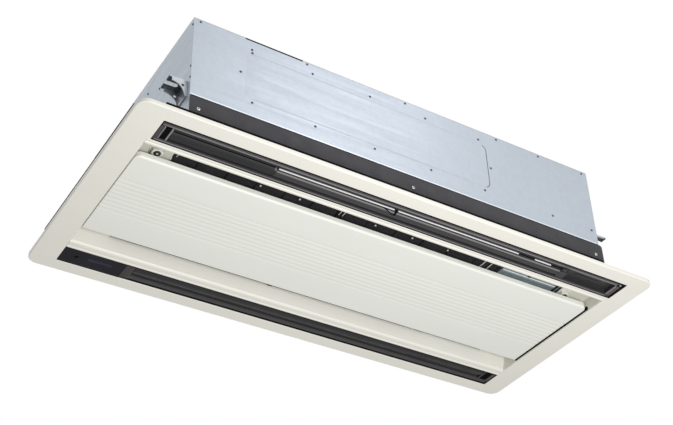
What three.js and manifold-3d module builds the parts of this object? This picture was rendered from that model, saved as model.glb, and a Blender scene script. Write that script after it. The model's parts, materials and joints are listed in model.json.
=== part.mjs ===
// Two-way ceiling cassette air conditioner, in millimetres.
// The origin is the centre of the ceiling plane that the panel's rim presses against.
// +Z is up into the ceiling void, X runs along the unit and -Y is the near long side.
import * as THREE from 'three';
import { mergeVertices } from 'three/addons/utils/BufferGeometryUtils.js';
import Module from 'manifold-3d';

const wasm = await Module();
wasm.setup();

// ---------------------------------------------------------------- driving dimensions

const GAP = 0.3; // between pieces that rest on each other
const RUNNING_GAP = 0.6; // between a turning piece and what carries it
const SMALL_ROUND = 16; // sides of a pipe or a pin
const ROUND = 20; // sides of a middling round
const BIG_ROUND = 36; // sides of a large round
const ARC_STEPS = 6; // straight steps in an outline's arc
const OVERLAP = 1; // how far joined solids run into each other, and cuts past what they cut
const SAME_POINT = 0.001; // outline points closer than this are one

const PANEL_OVERHANG_X = 129; // panel past the casing's end
const PANEL_OVERHANG_Y = 44.5; // panel past the casing's long side
const PANEL_CORNER = 27;
const PANEL_DROP = 10; // front face below the ceiling plane
const PANEL_WALL = 3;
const PANEL_EDGE = 3; // rounding of the panel's outer edge
const PANEL_TUB = 30; // height of the panel's inner walls above the ceiling plane
const RAIL_WIDTH = 40;
const CAP_WIDTH = 65;
const OUTLET_WIDTH = 64;
const BAND_WIDTH = 29;
const BAND_EDGE = 8; // rounding of the band towards the intake
const BAND_LEDGE = 9; // how far the band's sloped wall leans in under the filters
const CAP_COLLAR = 6; // width of the cap's wall that the rail ends meet
const COLLAR_DROP = 1; // from the ceiling down to that wall

const BODY_LENGTH = 1172;
const BODY_DEPTH = 591;
const BODY_HEIGHT = 299;
const BODY_LIFT = 33; // underside above the ceiling plane
const SHEET = 1.5;

const STRIP_HEIGHT = 64;
const STRIP_THICK = 3.9;
const STRIP_OVERRUN = 5;
const STRIP_CORNER = 7;

const HANGER_WIDTH = 46;
const HANGER_REACH = 44;
const HANGER_TOP = 143;
const HANGER_FOOT = 98;
const HANGER_SHEET = 3;
const HANGER_SLOT = 12;
const HANGER_SLOT_DEPTH = 24;
const HANGER_INSET = 36.5; // from the casing's long side to the middle of the hanger
const HANGER_CHEEK_STOP = 6; // from the fork's tip to the cheeks' tip
const HANGER_CHEEK_FOOT = 5;
const HANGER_CHEEK_LIP = 12;
const HANGER_HOLE = 4; // radius
const HANGER_HOLE_X = 11;
const HANGER_HOLE_DROP = 16; // below the fork

const PAN_BASE = 44;
const PAN_TOP = 84;
const PAN_FLOOR = 8;
const PAN_END = 28.2; // from the pan's outer end to the intake
const PAN_SHELF = 22; // from the recess wall to the intake, under the coils' inner edge
const PAN_WALL = 7;
const PAN_OUTLET_INSET = 5; // from the panel's outlet to the pan's, on the inner side
const PAN_OUTLET_END = 24.2; // from the pan's outer end to its outlets

const COIL_END = 71; // from the casing's end to the coil
const COIL_DEPTH = 38;
const COIL_HEADROOM = 14; // from the casing's top to the coil
const COIL_FOOT = 1; // play of the coil between the pan's walls

const INTAKE_PLATE_Z = 27;
const INTAKE_PLATE_THICK = 3;
const END_PLATE_REACH = 91; // from the cap's inner face towards the middle
const END_FLANGE = 1.2; // sheet across the end of the recess
const END_FLANGE_DROP = 8; // its lower edge below the ceiling plane
const BOSS_RADIUS = 11;
const BOSS_HEIGHT = 9;
const BOSS_INSET = 58; // from the end cap's inner face
const BOSS_Y = 152;
const SCREW_RADIUS = 5.5;
const SCREW_PROUD = 2;

const FILTER_THICK = 6;
const FILTER_LAP = 8; // over the plate or rail that carries it
const FILTER_RAIL_X = -115;
const FILTER_RAIL_WIDTH = 14;
const BOX_REACH = 191; // from the end plate's edge towards the middle
const BOX_PLAY_X = 8; // from the pan's intake to the box
const BOX_PLAY_Y = 5;
const BOX_HEIGHT = 57.9;
const BOX_LID = 1.5;
const BOX_SETBACK = 2; // from the cover's edge to the box

const BELL_PLATE = 3;
const BELL_NECK = 96;
const BELL_FLARE = 14;
const BELL_RISE = 22;
const BELL_WALL = 2.5;
const BELL_STEPS = 4;

const FAN_RADIUS = 150;
const FAN_EYE = 102;
const FAN_FOOT = 104;
const FAN_DISC = 3;
const FAN_BLADES = 7;
const FAN_BLADE_THICK = 4;
const FAN_HUB = 22;
const FAN_HUB_DROP = 30;
const BLADE_START = 84;
const BLADE_INSET = 2; // from the wheel's rim to the blades' tips
const BLADE_SWEEP = 0.62; // how far a blade's tip trails, in radians
const BLADE_CURL = 1.2;
const BLADE_STEPS = 4;
const SHROUD_LIP = 4;
const SHROUD_WALL = 3;
const SHROUD_THROAT = 8;
const SHROUD_RISE = 20;
const SHAFT_RADIUS = 5;
const MOTOR_RADIUS = 60;
const MOTOR_HEIGHT = 68;
const MOTOR_DROP = 34; // from the casing's top to the motor
const MOTOR_GAP = 14;
const MOTOR_FOOT = 12;
const MOTOR_FEET = 3;
const BRACKET_SHEET = 3;
const SHAFT_PROUD = 6; // below the wheel's hub

const GAS_PIPE = 15.9;
const LIQUID_PIPE = 9.5;
const GAS_DROP = 62; // from the casing's top to the gas pipe
const LIQUID_DROP = 142;
const GAS_INSET = 26; // from the casing's end to the gas pipe across
const LIQUID_INSET = 41;
const GAS_Y = -80;
const LIQUID_Y = -20;
const PIPE_REACH = 38; // past the end plate
const GAS_HEADER = 9.5;
const LIQUID_HEADER = 7;
const HEADER_DROP = 60; // headers run below the pipe across
const PIPE_WALL = 1;
const PIPE_OPEN = 30; // depth to which the stub is hollow
const NUT_SETBACK = 4; // from the stub's end to the nut
const GAS_NUT = 13; // radius over the corners
const GAS_NUT_LENGTH = 22;
const LIQUID_NUT = 7.8;
const LIQUID_NUT_LENGTH = 17;

const PUMP_INSET = 34; // from the casing's end to the pump and to the float
const PUMP_RADIUS = 19;
const PUMP_NECK = 18; // from the pump's top to the axis of its outlet
const PUMP_FOOT = 8;
const PUMP_FOOT_RADIUS = 13;
const DRAIN_DROP = 182; // from the casing's top to the axis of the outlet
const DRAIN_RADIUS = 16;
const DRAIN_BORE = 12.5;
const DRAIN_REACH = 34;
const DRAIN_OPEN = 40; // depth to which the outlet is hollow
const FLOAT_RADIUS = 12;
const FLOAT_HEIGHT = 14;
const FLOAT_STEM = 2.5;
const FLOAT_TRAVEL = 10;
const SWITCH_HEAD = 10;
const SWITCH_FOOT = 3;
const SWITCH_FOOT_RADIUS = 8;

const GLAND_Y = 60;
const GLAND_Z = 120;
const GLAND_RADIUS = 14;
const GLAND_THREAD = 10;
const GLAND_BORE = 6;
const GLAND_TAIL = 3; // inside the end plate
const GLAND_HEX = 6;
const GLAND_CAP = 12;
const GLAND_CAP_RADIUS = 12;
const GLAND_MOUTH = 9;

const FRAME_LEDGE = 19; // sloping outer lip of the outlet
const FRAME_RECESS = 2; // lip behind the panel's face
const FRAME_SLOPE = 4;
const FRAME_WALL = 3;
const FRAME_POCKET = 28; // motor pocket at the end of the outlet
const FRAME_BORDER = 12;
const FRAME_END = 148.7; // length of the recess past the ribbed bar beside the blade
const FRAME_BAR_WIDTH = 23;
const FRAME_FLOOR = 6; // floor of the end recess above the ceiling plane

const LOUVRE_PIVOT_Z = 3;
const LOUVRE_RADIUS = 11.5; // of the inner edge, round the pivot
const LOUVRE_REACH = 17.6; // from the pivot to the outer edge
const LOUVRE_WALL = 2.6;
const LOUVRE_TIP = 0.6; // how far the outer edge curls up, as a share of the radius
const LOUVRE_PIN = 2;
const LOUVRE_PIN_LENGTH = 3.2;
const LOUVRE_LUG = 4;
const LOUVRE_EYE = 4;
const LOUVRE_BROW = -11; // where the inner edge ends, in degrees round the pivot
const LOUVRE_END_GAP = 1.2;
const LOUVRE_MOTOR_RADIUS = 9;
const LOUVRE_MOTOR_LENGTH = 18;

const WINDOW_LENS = 1.3;
const WINDOW_WALL = 2;
const WINDOW_PLAY = 0.6;
const BOARD_THICK = 1.6;
const BOARD_LIFT = 4;
const BUTTON_RADIUS = 4;
const BUTTON_INSET = 99.7; // from the end of the outlet frame
const BUTTON_TRAVEL = 1.5;

const GRILLE_PLAY = 5; // from the end cap's inner face to the grille
const GRILLE_GAP_NEAR = 47; // intake gap between the recess wall and the grille
const GRILLE_GAP_FAR = 56;
const GRILLE_RECESS = 5;
const GRILLE_HEIGHT = 15;
const GRILLE_WALL = 3;
const GRILLE_CORNER = 16; // of the near edge
const GRILLE_FAR_CORNER = 3;
const GRILLE_POCKET_CORNER = 12;
const GRILLE_EDGE = 9; // rounding of the near edge
const GRILLE_FAR_EDGE = 2;
const GROOVES = 9;
const GROOVE_PITCH = 15.3;
const GROOVE_DEPTH = 0.8;
const GROOVE_FLAT = 1; // between two grooves

const HINGE_SETBACK = 46; // from the end cap's inner face
const HINGE_INSET = 10; // from the grille's far edge to the hinge axis
const HINGE_PIN = 3;
const HINGE_EYE = 5.5;
const HINGE_LIFT = 1; // eyes above the grille's back
const HINGE_ARM = 8;
const HINGE_LUG = 5;
const PIN_PROUD = 2;
const CATCH_INSET = 25; // from the end cap's inner face
const CATCH_SETBACK = 45; // from the grille's near edge
const CATCH_SIZE = 16;
const CATCH_HEIGHT = 11;
const CATCH_ROOF = 3;
const CATCH_PLAY = 1.5; // round the grille's tongue
const TONGUE = 5;
const TONGUE_HEIGHT = 8;

// ---------------------------------------------------------------- derived places

const bodyX = BODY_LENGTH / 2;
const bodyY = BODY_DEPTH / 2;
const bodyTop = BODY_LIFT + BODY_HEIGHT;
const panelX = bodyX + PANEL_OVERHANG_X;
const panelY = bodyY + PANEL_OVERHANG_Y;
const faceZ = -PANEL_DROP;
const openX = panelX - CAP_WIDTH;
const outletOuter = panelY - RAIL_WIDTH;
const outletInner = outletOuter - OUTLET_WIDTH;
const recessY = outletInner - BAND_WIDTH;
const ledgeY = recessY - BAND_LEDGE;
const ductWallY = outletOuter - FRAME_LEDGE;
const insideX = bodyX - SHEET - GAP;
const insideY = bodyY - SHEET - GAP;
const panIntakeX = insideX - PAN_END;
const panIntakeY = recessY - PAN_SHELF;
const panOutletX = insideX - PAN_OUTLET_END;
const panOutletInner = outletInner + PAN_OUTLET_INSET;
const sumpZ = PAN_BASE + PAN_FLOOR + GAP;
const ductTop = PAN_BASE - GAP;
const coilX = bodyX - COIL_END;
const coilY = panIntakeY + PAN_WALL + COIL_FOOT + COIL_DEPTH / 2;
const pumpX = bodyX - PUMP_INSET;
const plateTop = INTAKE_PLATE_Z + INTAKE_PLATE_THICK;
const endPlateX = openX - END_PLATE_REACH;
const boxStartX = endPlateX - BOX_REACH;
const grilleX = openX - GRILLE_PLAY;
const grilleNear = -(recessY - GRILLE_GAP_NEAR);
const grilleFar = recessY - GRILLE_GAP_FAR;
const grilleFront = faceZ + GRILLE_RECESS;
const grilleBack = grilleFront + GRILLE_HEIGHT;
const hingeX = openX - HINGE_SETBACK;
const hingeY = grilleFar - HINGE_INSET;
const hingeZ = grilleBack + HINGE_EYE + HINGE_LIFT;
const catchY = grilleNear + CATCH_SETBACK;
const louvreY = outletInner + FRAME_WALL + GAP + LOUVRE_RADIUS + LOUVRE_END_GAP;
const coilTop = bodyTop - COIL_HEADROOM;
const gasZ = bodyTop - GAS_DROP;
const liquidZ = bodyTop - LIQUID_DROP;
const drainZ = bodyTop - DRAIN_DROP;
const pumpTop = drainZ - PUMP_NECK;
const motorTop = bodyTop - MOTOR_DROP;
const motorBase = motorTop - MOTOR_HEIGHT;
const fanTop = motorBase - MOTOR_GAP;
const bellSpans = [
  ['left', -(panIntakeX + PAN_WALL - COIL_FOOT), FILTER_RAIL_X - GAP],
  ['right', FILTER_RAIL_X + GAP, boxStartX - GAP],
];

// ---------------------------------------------------------------- solids

/** A closed solid from a three.js geometry. */
function solid(geometry) {
  const bare = geometry.index ? geometry.toNonIndexed() : geometry;
  bare.deleteAttribute('normal');
  bare.deleteAttribute('uv');
  const merged = mergeVertices(bare, 1e-4);
  return new wasm.Manifold(new wasm.Mesh({
    numProp: 3,
    vertProperties: new Float32Array(merged.attributes.position.array),
    triVerts: new Uint32Array(merged.index.array),
  }));
}

/** A solid's surface as a three.js geometry. */
function surface(body) {
  const mesh = body.getMesh();
  const geometry = new THREE.BufferGeometry();
  geometry.setAttribute('position', new THREE.BufferAttribute(new Float32Array(mesh.vertProperties), 3));
  geometry.setIndex(new THREE.BufferAttribute(new Uint32Array(mesh.triVerts), 1));
  return geometry;
}

/** All the solids joined into one. */
function join(...bodies) {
  return bodies.reduce((whole, body) => whole.add(body));
}

/** The first solid with the others cut from it. */
function cut(body, ...tools) {
  return tools.reduce((rest, tool) => rest.subtract(tool), body);
}

/** A box between two corners. */
function box([x0, y0, z0], [x1, y1, z1]) {
  const geometry = new THREE.BoxGeometry(x1 - x0, y1 - y0, z1 - z0);
  return solid(geometry.translate((x0 + x1) / 2, (y0 + y1) / 2, (z0 + z1) / 2));
}

/** A cylinder from a start point along an axis, 'x', 'y' or 'z'. */
function rod(axis, [x, y, z], length, radius, sides = ROUND, endRadius = radius) {
  const geometry = new THREE.CylinderGeometry(endRadius, radius, length, sides);
  geometry.translate(0, length / 2, 0);
  if (axis === 'x') geometry.rotateZ(-Math.PI / 2);
  if (axis === 'z') geometry.rotateX(Math.PI / 2);
  return solid(geometry.translate(x, y, z));
}

/** A shape from points and arcs; an arc is { at, radius, from, to } with angles in degrees. */
function outline(steps, arcSteps = ARC_STEPS) {
  const points = [];
  const add = (x, y) => {
    const point = new THREE.Vector2(x, y);
    const repeats = (other) => other && other.distanceTo(point) < SAME_POINT;
    if (!repeats(points.at(-1)) && !repeats(points[0])) points.push(point);
  };
  for (const step of steps) {
    if (Array.isArray(step)) {
      add(...step);
      continue;
    }
    for (let i = 0; i <= arcSteps; i += 1) {
      const angle = THREE.MathUtils.degToRad(step.from + ((step.to - step.from) * i) / arcSteps);
      add(step.at[0] + step.radius * Math.cos(angle), step.at[1] + step.radius * Math.sin(angle));
    }
  }
  return new THREE.Shape(points);
}

/** A rounded rectangle between two corners. */
function roundedRect(x0, y0, x1, y1, radius) {
  return outline([
    { at: [x1 - radius, y0 + radius], radius, from: -90, to: 0 },
    { at: [x1 - radius, y1 - radius], radius, from: 0, to: 90 },
    { at: [x0 + radius, y1 - radius], radius, from: 90, to: 180 },
    { at: [x0 + radius, y0 + radius], radius, from: 180, to: 270 },
  ]);
}

/** A plan shape raised from one height to another. */
function raised(shape, z0, z1) {
  const geometry = new THREE.ExtrudeGeometry(shape, { depth: z1 - z0, bevelEnabled: false });
  return solid(geometry.translate(0, 0, z0));
}

/** A (y, z) shape drawn out along X. */
function alongX(shape, x0, x1) {
  const geometry = new THREE.ExtrudeGeometry(shape, { depth: x1 - x0, bevelEnabled: false });
  geometry.applyMatrix4(new THREE.Matrix4().makeBasis(
    new THREE.Vector3(0, 1, 0),
    new THREE.Vector3(0, 0, 1),
    new THREE.Vector3(1, 0, 0),
  ));
  return solid(geometry.translate(x0, 0, 0));
}

/** An (x, z) shape drawn out along Y. */
function alongY(shape, y0, y1) {
  const geometry = new THREE.ExtrudeGeometry(shape, { depth: y1 - y0, bevelEnabled: false });
  return solid(geometry.rotateX(Math.PI / 2).translate(0, y1, 0));
}

/** A closed (radius, z) profile turned about the Z axis at (x, y). */
function turned(points, [x, y], sides = BIG_ROUND) {
  const profile = points.map(([radius, z]) => new THREE.Vector2(radius, z));
  const geometry = new THREE.LatheGeometry(profile, sides);
  return solid(geometry.rotateX(Math.PI / 2).translate(x, y, 0));
}

// ---------------------------------------------------------------- finishes

const FINISH = {
  zinc: { color: 0xccd3dc, roughness: 0.38, metalness: 0.75 },
  endZinc: { color: 0xa3abb3, roughness: 0.45, metalness: 0.75 },
  steel: { color: 0x9aa0a6, roughness: 0.35, metalness: 0.9 },
  white: { color: 0xe6e4dc, roughness: 0.42, metalness: 0 },
  recess: { color: 0xb4b4a6, roughness: 0.55, metalness: 0 },
  charcoal: { color: 0x3b3a3d, roughness: 0.5, metalness: 0 },
  strip: { color: 0x555358, roughness: 0.6, metalness: 0 },
  black: { color: 0x17171a, roughness: 0.65, metalness: 0 },
  gloss: { color: 0x16181f, roughness: 0.12, metalness: 0 },
  foam: { color: 0xd9dbd6, roughness: 0.85, metalness: 0 },
  fins: { color: 0xb9bec2, roughness: 0.4, metalness: 0.8 },
  copper: { color: 0xb8734a, roughness: 0.35, metalness: 0.9 },
  brass: { color: 0xb79a54, roughness: 0.35, metalness: 0.9 },
  board: { color: 0x2f5d3f, roughness: 0.5, metalness: 0 },
};

const unit = new THREE.Group();
const farSide = new THREE.Group(); // the far half is the near half turned half way round
farSide.rotation.z = Math.PI;
unit.add(farSide);

/** Puts a solid into a group as a named mesh with its own material. */
function place(name, body, finish, group = unit) {
  const mesh = new THREE.Mesh(surface(body), new THREE.MeshStandardMaterial(FINISH[finish]));
  mesh.name = name;
  group.add(mesh);
}

/** Places one solid on the near side and its copy on the far side. */
function placePair(name, body, finish, names = ['near', 'far']) {
  place(`${name}_${names[0]}`, body, finish);
  place(`${name}_${names[1]}`, body, finish, farSide);
}

// ---------------------------------------------------------------- casing

function casingSide(holes = []) {
  const plate = box([-bodyX, -bodyY, BODY_LIFT], [bodyX, -bodyY + SHEET, bodyTop - SHEET - GAP]);
  return cut(plate, ...holes);
}

function casingEnd(holes = []) {
  const plate = box([bodyX - SHEET, -insideY, BODY_LIFT], [bodyX, insideY, bodyTop - SHEET - GAP]);
  return cut(plate, ...holes);
}

function hanger() {
  const plateZ = HANGER_TOP - HANGER_SHEET;
  const half = HANGER_WIDTH / 2;
  const slotX = HANGER_REACH - HANGER_SLOT_DEPTH;
  const fork = cut(
    box([0, -half, plateZ], [HANGER_REACH, half, HANGER_TOP]),
    rod('z', [slotX, 0, plateZ - OVERLAP], HANGER_SHEET + 2 * OVERLAP, HANGER_SLOT / 2),
    box(
      [slotX, -HANGER_SLOT / 2, plateZ - OVERLAP],
      [HANGER_REACH + OVERLAP, HANGER_SLOT / 2, HANGER_TOP + OVERLAP],
    ),
  );
  const leg = box([0, -half, HANGER_FOOT], [HANGER_SHEET, half, HANGER_TOP]);
  const tip = HANGER_REACH - HANGER_CHEEK_STOP;
  const hollow = Math.min(tip - HANGER_CHEEK_FOOT, HANGER_TOP - HANGER_FOOT - HANGER_CHEEK_LIP);
  const across = HANGER_WIDTH + 2 * OVERLAP;
  const cheeks = cut(
    join(
      box([0, -half, HANGER_FOOT], [tip, -half + HANGER_SHEET, HANGER_TOP]),
      box([0, half - HANGER_SHEET, HANGER_FOOT], [tip, half, HANGER_TOP]),
    ),
    rod('y', [tip, -half - OVERLAP, HANGER_FOOT], across, hollow, BIG_ROUND),
    rod('y', [HANGER_HOLE_X, -half - OVERLAP, HANGER_TOP - HANGER_HOLE_DROP], across, HANGER_HOLE, 8),
  );
  return join(fork, leg, cheeks);
}

function sideStrip() {
  const shape = outline([
    [-bodyX, BODY_LIFT],
    [bodyX + STRIP_OVERRUN, BODY_LIFT],
    {
      at: [bodyX + STRIP_OVERRUN - STRIP_CORNER, BODY_LIFT + STRIP_HEIGHT - STRIP_CORNER],
      radius: STRIP_CORNER,
      from: 0,
      to: 90,
    },
    [-bodyX, BODY_LIFT + STRIP_HEIGHT],
  ]);
  const outer = -bodyY - GAP;
  return alongY(shape, outer - STRIP_THICK, outer);
}

place('casing_top', box([-bodyX, -bodyY, bodyTop - SHEET], [bodyX, bodyY, bodyTop]), 'zinc');
place('casing_side_near', casingSide(), 'zinc');
place('casing_side_far', casingSide([
  rod('y', [-pumpX, -bodyY - OVERLAP, drainZ], SHEET + 2 * OVERLAP, DRAIN_RADIUS + GAP),
]), 'zinc', farSide);
place('casing_end_left', casingEnd(), 'endZinc', farSide);
place('casing_end_right', casingEnd([
  [GAS_Y, gasZ, GAS_PIPE / 2],
  [LIQUID_Y, liquidZ, LIQUID_PIPE / 2],
  [GLAND_Y, GLAND_Z, GLAND_THREAD],
].map(([y, z, radius]) => (
  rod('x', [bodyX - SHEET - OVERLAP, y, z], SHEET + 2 * OVERLAP, radius + GAP)
))), 'endZinc');
placePair('side_strip', sideStrip(), 'strip');

for (const [row, sign] of [['near', 1], ['far', -1]]) {
  const hangerY = -(bodyY - HANGER_INSET) * sign;
  const bracket = hanger().translate([bodyX + GAP, hangerY, 0]);
  place(`hanger_right_${row}`, bracket, 'steel');
  place(`hanger_left_${row === 'near' ? 'far' : 'near'}`, bracket, 'steel', farSide);
}

// ---------------------------------------------------------------- drain pan and coils

function drainPan() {
  const floor = PAN_BASE + PAN_FLOOR;
  const troughEnd = insideX - PAN_WALL;
  const troughY = panOutletInner - PAN_WALL;
  const block = box([-insideX, -insideY, PAN_BASE], [insideX, insideY, PAN_TOP]);
  const cuts = [box(
    [-panIntakeX, -panIntakeY, PAN_BASE - OVERLAP],
    [panIntakeX, panIntakeY, PAN_TOP + OVERLAP],
  )];
  for (const sign of [-1, 1]) {
    const between = (a, b) => [a * sign, b * sign].sort((low, high) => low - high);
    const outlet = between(panOutletInner, insideY + OVERLAP);
    const trough = between(panIntakeY + PAN_WALL, troughY);
    const end = between(panIntakeX + PAN_WALL, troughEnd);
    cuts.push(
      box([-panOutletX, outlet[0], PAN_BASE - OVERLAP], [panOutletX, outlet[1], PAN_TOP + OVERLAP]),
      box([-troughEnd, trough[0], floor], [troughEnd, trough[1], PAN_TOP + OVERLAP]),
      box([end[0], -troughY, floor], [end[1], troughY, PAN_TOP + OVERLAP]),
    );
  }
  return cut(block, ...cuts);
}

function coil() {
  return box([-coilX, -coilY - COIL_DEPTH / 2, sumpZ], [coilX, -coilY + COIL_DEPTH / 2, coilTop]);
}

place('drain_pan', drainPan(), 'foam');
placePair('coil', coil(), 'fins');

/** Two headers on the coils' ends, a pipe across between them and the stub through the end plate. */
function pipework({ bore, crossX, z, stubY, headerY, header, span }) {
  const radius = bore / 2;
  const headerX = coilX + GAP + header;
  const endX = bodyX + PIPE_REACH;
  const parts = [
    rod('y', [crossX, -headerY, z], 2 * headerY, radius, SMALL_ROUND),
    rod('x', [crossX, stubY, z], endX - crossX, radius, SMALL_ROUND),
  ];
  for (const sign of [-1, 1]) {
    const y = sign * headerY;
    const bend = new THREE.SphereGeometry(radius, SMALL_ROUND, SMALL_ROUND / 2);
    parts.push(
      rod('x', [headerX, y, z], crossX - headerX, radius, SMALL_ROUND),
      solid(bend.translate(crossX, y, z)),
      rod('z', [headerX, y, span[0]], span[1] - span[0], header, SMALL_ROUND),
    );
  }
  const hollow = rod('x', [endX - PIPE_OPEN, stubY, z], PIPE_OPEN + OVERLAP, radius - PIPE_WALL, SMALL_ROUND);
  return cut(join(...parts), hollow);
}

place('gas_pipework', pipework({
  bore: GAS_PIPE,
  crossX: bodyX - GAS_INSET,
  z: gasZ,
  stubY: GAS_Y,
  headerY: coilY - COIL_DEPTH / 4,
  header: GAS_HEADER,
  span: [gasZ - HEADER_DROP, coilTop],
}), 'copper');
place('liquid_pipework', pipework({
  bore: LIQUID_PIPE,
  crossX: bodyX - LIQUID_INSET,
  z: liquidZ,
  stubY: LIQUID_Y,
  headerY: coilY + COIL_DEPTH / 8,
  header: LIQUID_HEADER,
  span: [liquidZ - HEADER_DROP, liquidZ + LIQUID_PIPE],
}), 'copper');

function flareNut(bore, y, z, corner, length) {
  const start = bodyX + PIPE_REACH - NUT_SETBACK - length;
  return cut(
    rod('x', [start, y, z], length, corner, 6),
    rod('x', [start - OVERLAP, y, z], length + 2 * OVERLAP, bore / 2 + GAP, SMALL_ROUND),
  );
}

place('gas_flare_nut', flareNut(GAS_PIPE, GAS_Y, gasZ, GAS_NUT, GAS_NUT_LENGTH), 'brass');
place(
  'liquid_flare_nut',
  flareNut(LIQUID_PIPE, LIQUID_Y, liquidZ, LIQUID_NUT, LIQUID_NUT_LENGTH),
  'brass',
);

function drainPump() {
  const bodyZ = sumpZ + PUMP_FOOT;
  return join(
    rod('z', [pumpX, coilY, sumpZ], PUMP_FOOT + OVERLAP, PUMP_FOOT_RADIUS),
    rod('z', [pumpX, coilY, bodyZ], pumpTop - bodyZ, PUMP_RADIUS),
  );
}

function drainPipe() {
  const start = coilY - DRAIN_RADIUS;
  const end = bodyY + DRAIN_REACH;
  const foot = pumpTop + GAP;
  return cut(
    join(
      rod('z', [pumpX, coilY, foot], drainZ - foot, DRAIN_BORE),
      rod('y', [pumpX, start, drainZ], end - start, DRAIN_RADIUS),
    ),
    rod('y', [pumpX, end - DRAIN_OPEN, drainZ], DRAIN_OPEN + OVERLAP, DRAIN_BORE),
  );
}

place('drain_pump', drainPump(), 'white');
place('drain_pipe', drainPipe(), 'black');

const floatRest = sumpZ + SWITCH_FOOT + GAP;
const floatHead = floatRest + FLOAT_HEIGHT + FLOAT_TRAVEL + GAP;

place('float_switch', join(
  rod('z', [-pumpX, coilY, sumpZ], SWITCH_FOOT, SWITCH_FOOT_RADIUS),
  rod('z', [-pumpX, coilY, sumpZ], floatHead + OVERLAP - sumpZ, FLOAT_STEM),
  rod('z', [-pumpX, coilY, floatHead], SWITCH_HEAD, FLOAT_RADIUS),
), 'white');
place('float', cut(
  rod('z', [-pumpX, coilY, floatRest], FLOAT_HEIGHT, FLOAT_RADIUS),
  rod(
    'z',
    [-pumpX, coilY, floatRest - OVERLAP],
    FLOAT_HEIGHT + 2 * OVERLAP,
    FLOAT_STEM + RUNNING_GAP,
  ),
), 'foam');

// ---------------------------------------------------------------- fans

function bellMouth(x0, x1) {
  const middle = (x0 + x1) / 2;
  const halfY = panIntakeY + PAN_WALL - GAP;
  const base = PAN_TOP + GAP;
  const plate = cut(
    box([x0, -halfY, base], [x1, halfY, base + BELL_PLATE]),
    rod(
      'z',
      [middle, 0, base - OVERLAP],
      BELL_PLATE + 2 * OVERLAP,
      BELL_NECK + BELL_FLARE - OVERLAP,
      BIG_ROUND,
    ),
  );
  const rise = [];
  for (let i = 0; i <= BELL_STEPS; i += 1) {
    const angle = (i / BELL_STEPS) * Math.PI / 2;
    rise.push([
      BELL_NECK + BELL_FLARE * (1 - Math.sin(angle)),
      base + BELL_RISE * (1 - Math.cos(angle)),
    ]);
  }
  const outer = rise.map(([radius, z]) => [radius + BELL_WALL, z]);
  const profile = [...outer, ...rise.reverse(), outer[0]];
  return join(plate, turned(profile, [middle, 0]));
}

/** The plan of one blade, which trails more the further out it is. */
function bladeShape(index) {
  const turn = (index / FAN_BLADES) * Math.PI * 2;
  const half = FAN_BLADE_THICK / 2;
  const reach = FAN_RADIUS - BLADE_INSET - BLADE_START;
  const edge = (side) => Array.from({ length: BLADE_STEPS + 1 }, (_, i) => {
    const share = i / BLADE_STEPS;
    const radius = BLADE_START + reach * share;
    const angle = turn - BLADE_SWEEP * share ** BLADE_CURL + (side * half) / radius;
    return [radius * Math.cos(angle), radius * Math.sin(angle)];
  });
  return outline([...edge(-1), ...edge(1).reverse()]);
}

function fanWheel(x) {
  const disc = rod('z', [0, 0, fanTop - FAN_DISC], FAN_DISC, FAN_RADIUS, BIG_ROUND);
  const hub = rod('z', [0, 0, fanTop - FAN_HUB_DROP], FAN_HUB_DROP, FAN_HUB);
  const shroud = turned([
    [FAN_EYE, FAN_FOOT - SHROUD_LIP],
    [FAN_EYE + SHROUD_WALL, FAN_FOOT - SHROUD_LIP],
    [FAN_EYE + SHROUD_THROAT, FAN_FOOT + SHROUD_THROAT],
    [FAN_RADIUS, FAN_FOOT + SHROUD_RISE],
    [FAN_RADIUS, FAN_FOOT + SHROUD_RISE + SHROUD_WALL],
    [FAN_EYE + SHROUD_THROAT - SHROUD_WALL, FAN_FOOT + SHROUD_THROAT + SHROUD_WALL],
    [FAN_EYE, FAN_FOOT],
    [FAN_EYE, FAN_FOOT - SHROUD_LIP],
  ], [0, 0]);
  const throatX = FAN_EYE + SHROUD_THROAT - SHROUD_WALL;
  const bladeSpace = turned([
    [0, FAN_FOOT + SHROUD_THROAT + OVERLAP],
    [throatX, FAN_FOOT + SHROUD_THROAT + OVERLAP],
    [FAN_RADIUS + OVERLAP, FAN_FOOT + SHROUD_RISE + OVERLAP],
    [FAN_RADIUS + OVERLAP, fanTop],
    [0, fanTop],
  ], [0, 0]);
  const blades = Array.from({ length: FAN_BLADES }, (_, i) => (
    raised(bladeShape(i), FAN_FOOT, fanTop - OVERLAP).intersect(bladeSpace)
  ));
  const bore = rod(
    'z',
    [0, 0, fanTop - FAN_HUB_DROP - OVERLAP],
    FAN_HUB_DROP + 2 * OVERLAP,
    SHAFT_RADIUS + GAP,
  );
  return cut(join(disc, hub, shroud, ...blades), bore).translate([x, 0, 0]);
}

/** The plate over a motor and the feet that hang it from the casing's top. */
function motorBracket(x) {
  const base = motorTop + GAP;
  const plate = rod('z', [x, 0, base], BRACKET_SHEET, MOTOR_RADIUS, BIG_ROUND);
  const reach = MOTOR_RADIUS - MOTOR_FOOT;
  const feet = Array.from({ length: MOTOR_FEET }, (_, i) => {
    const angle = (i / MOTOR_FEET) * Math.PI * 2;
    const foot = [x + reach * Math.cos(angle), reach * Math.sin(angle), base];
    return rod('z', foot, bodyTop - SHEET - GAP - base, MOTOR_FOOT);
  });
  return join(plate, ...feet);
}

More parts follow.
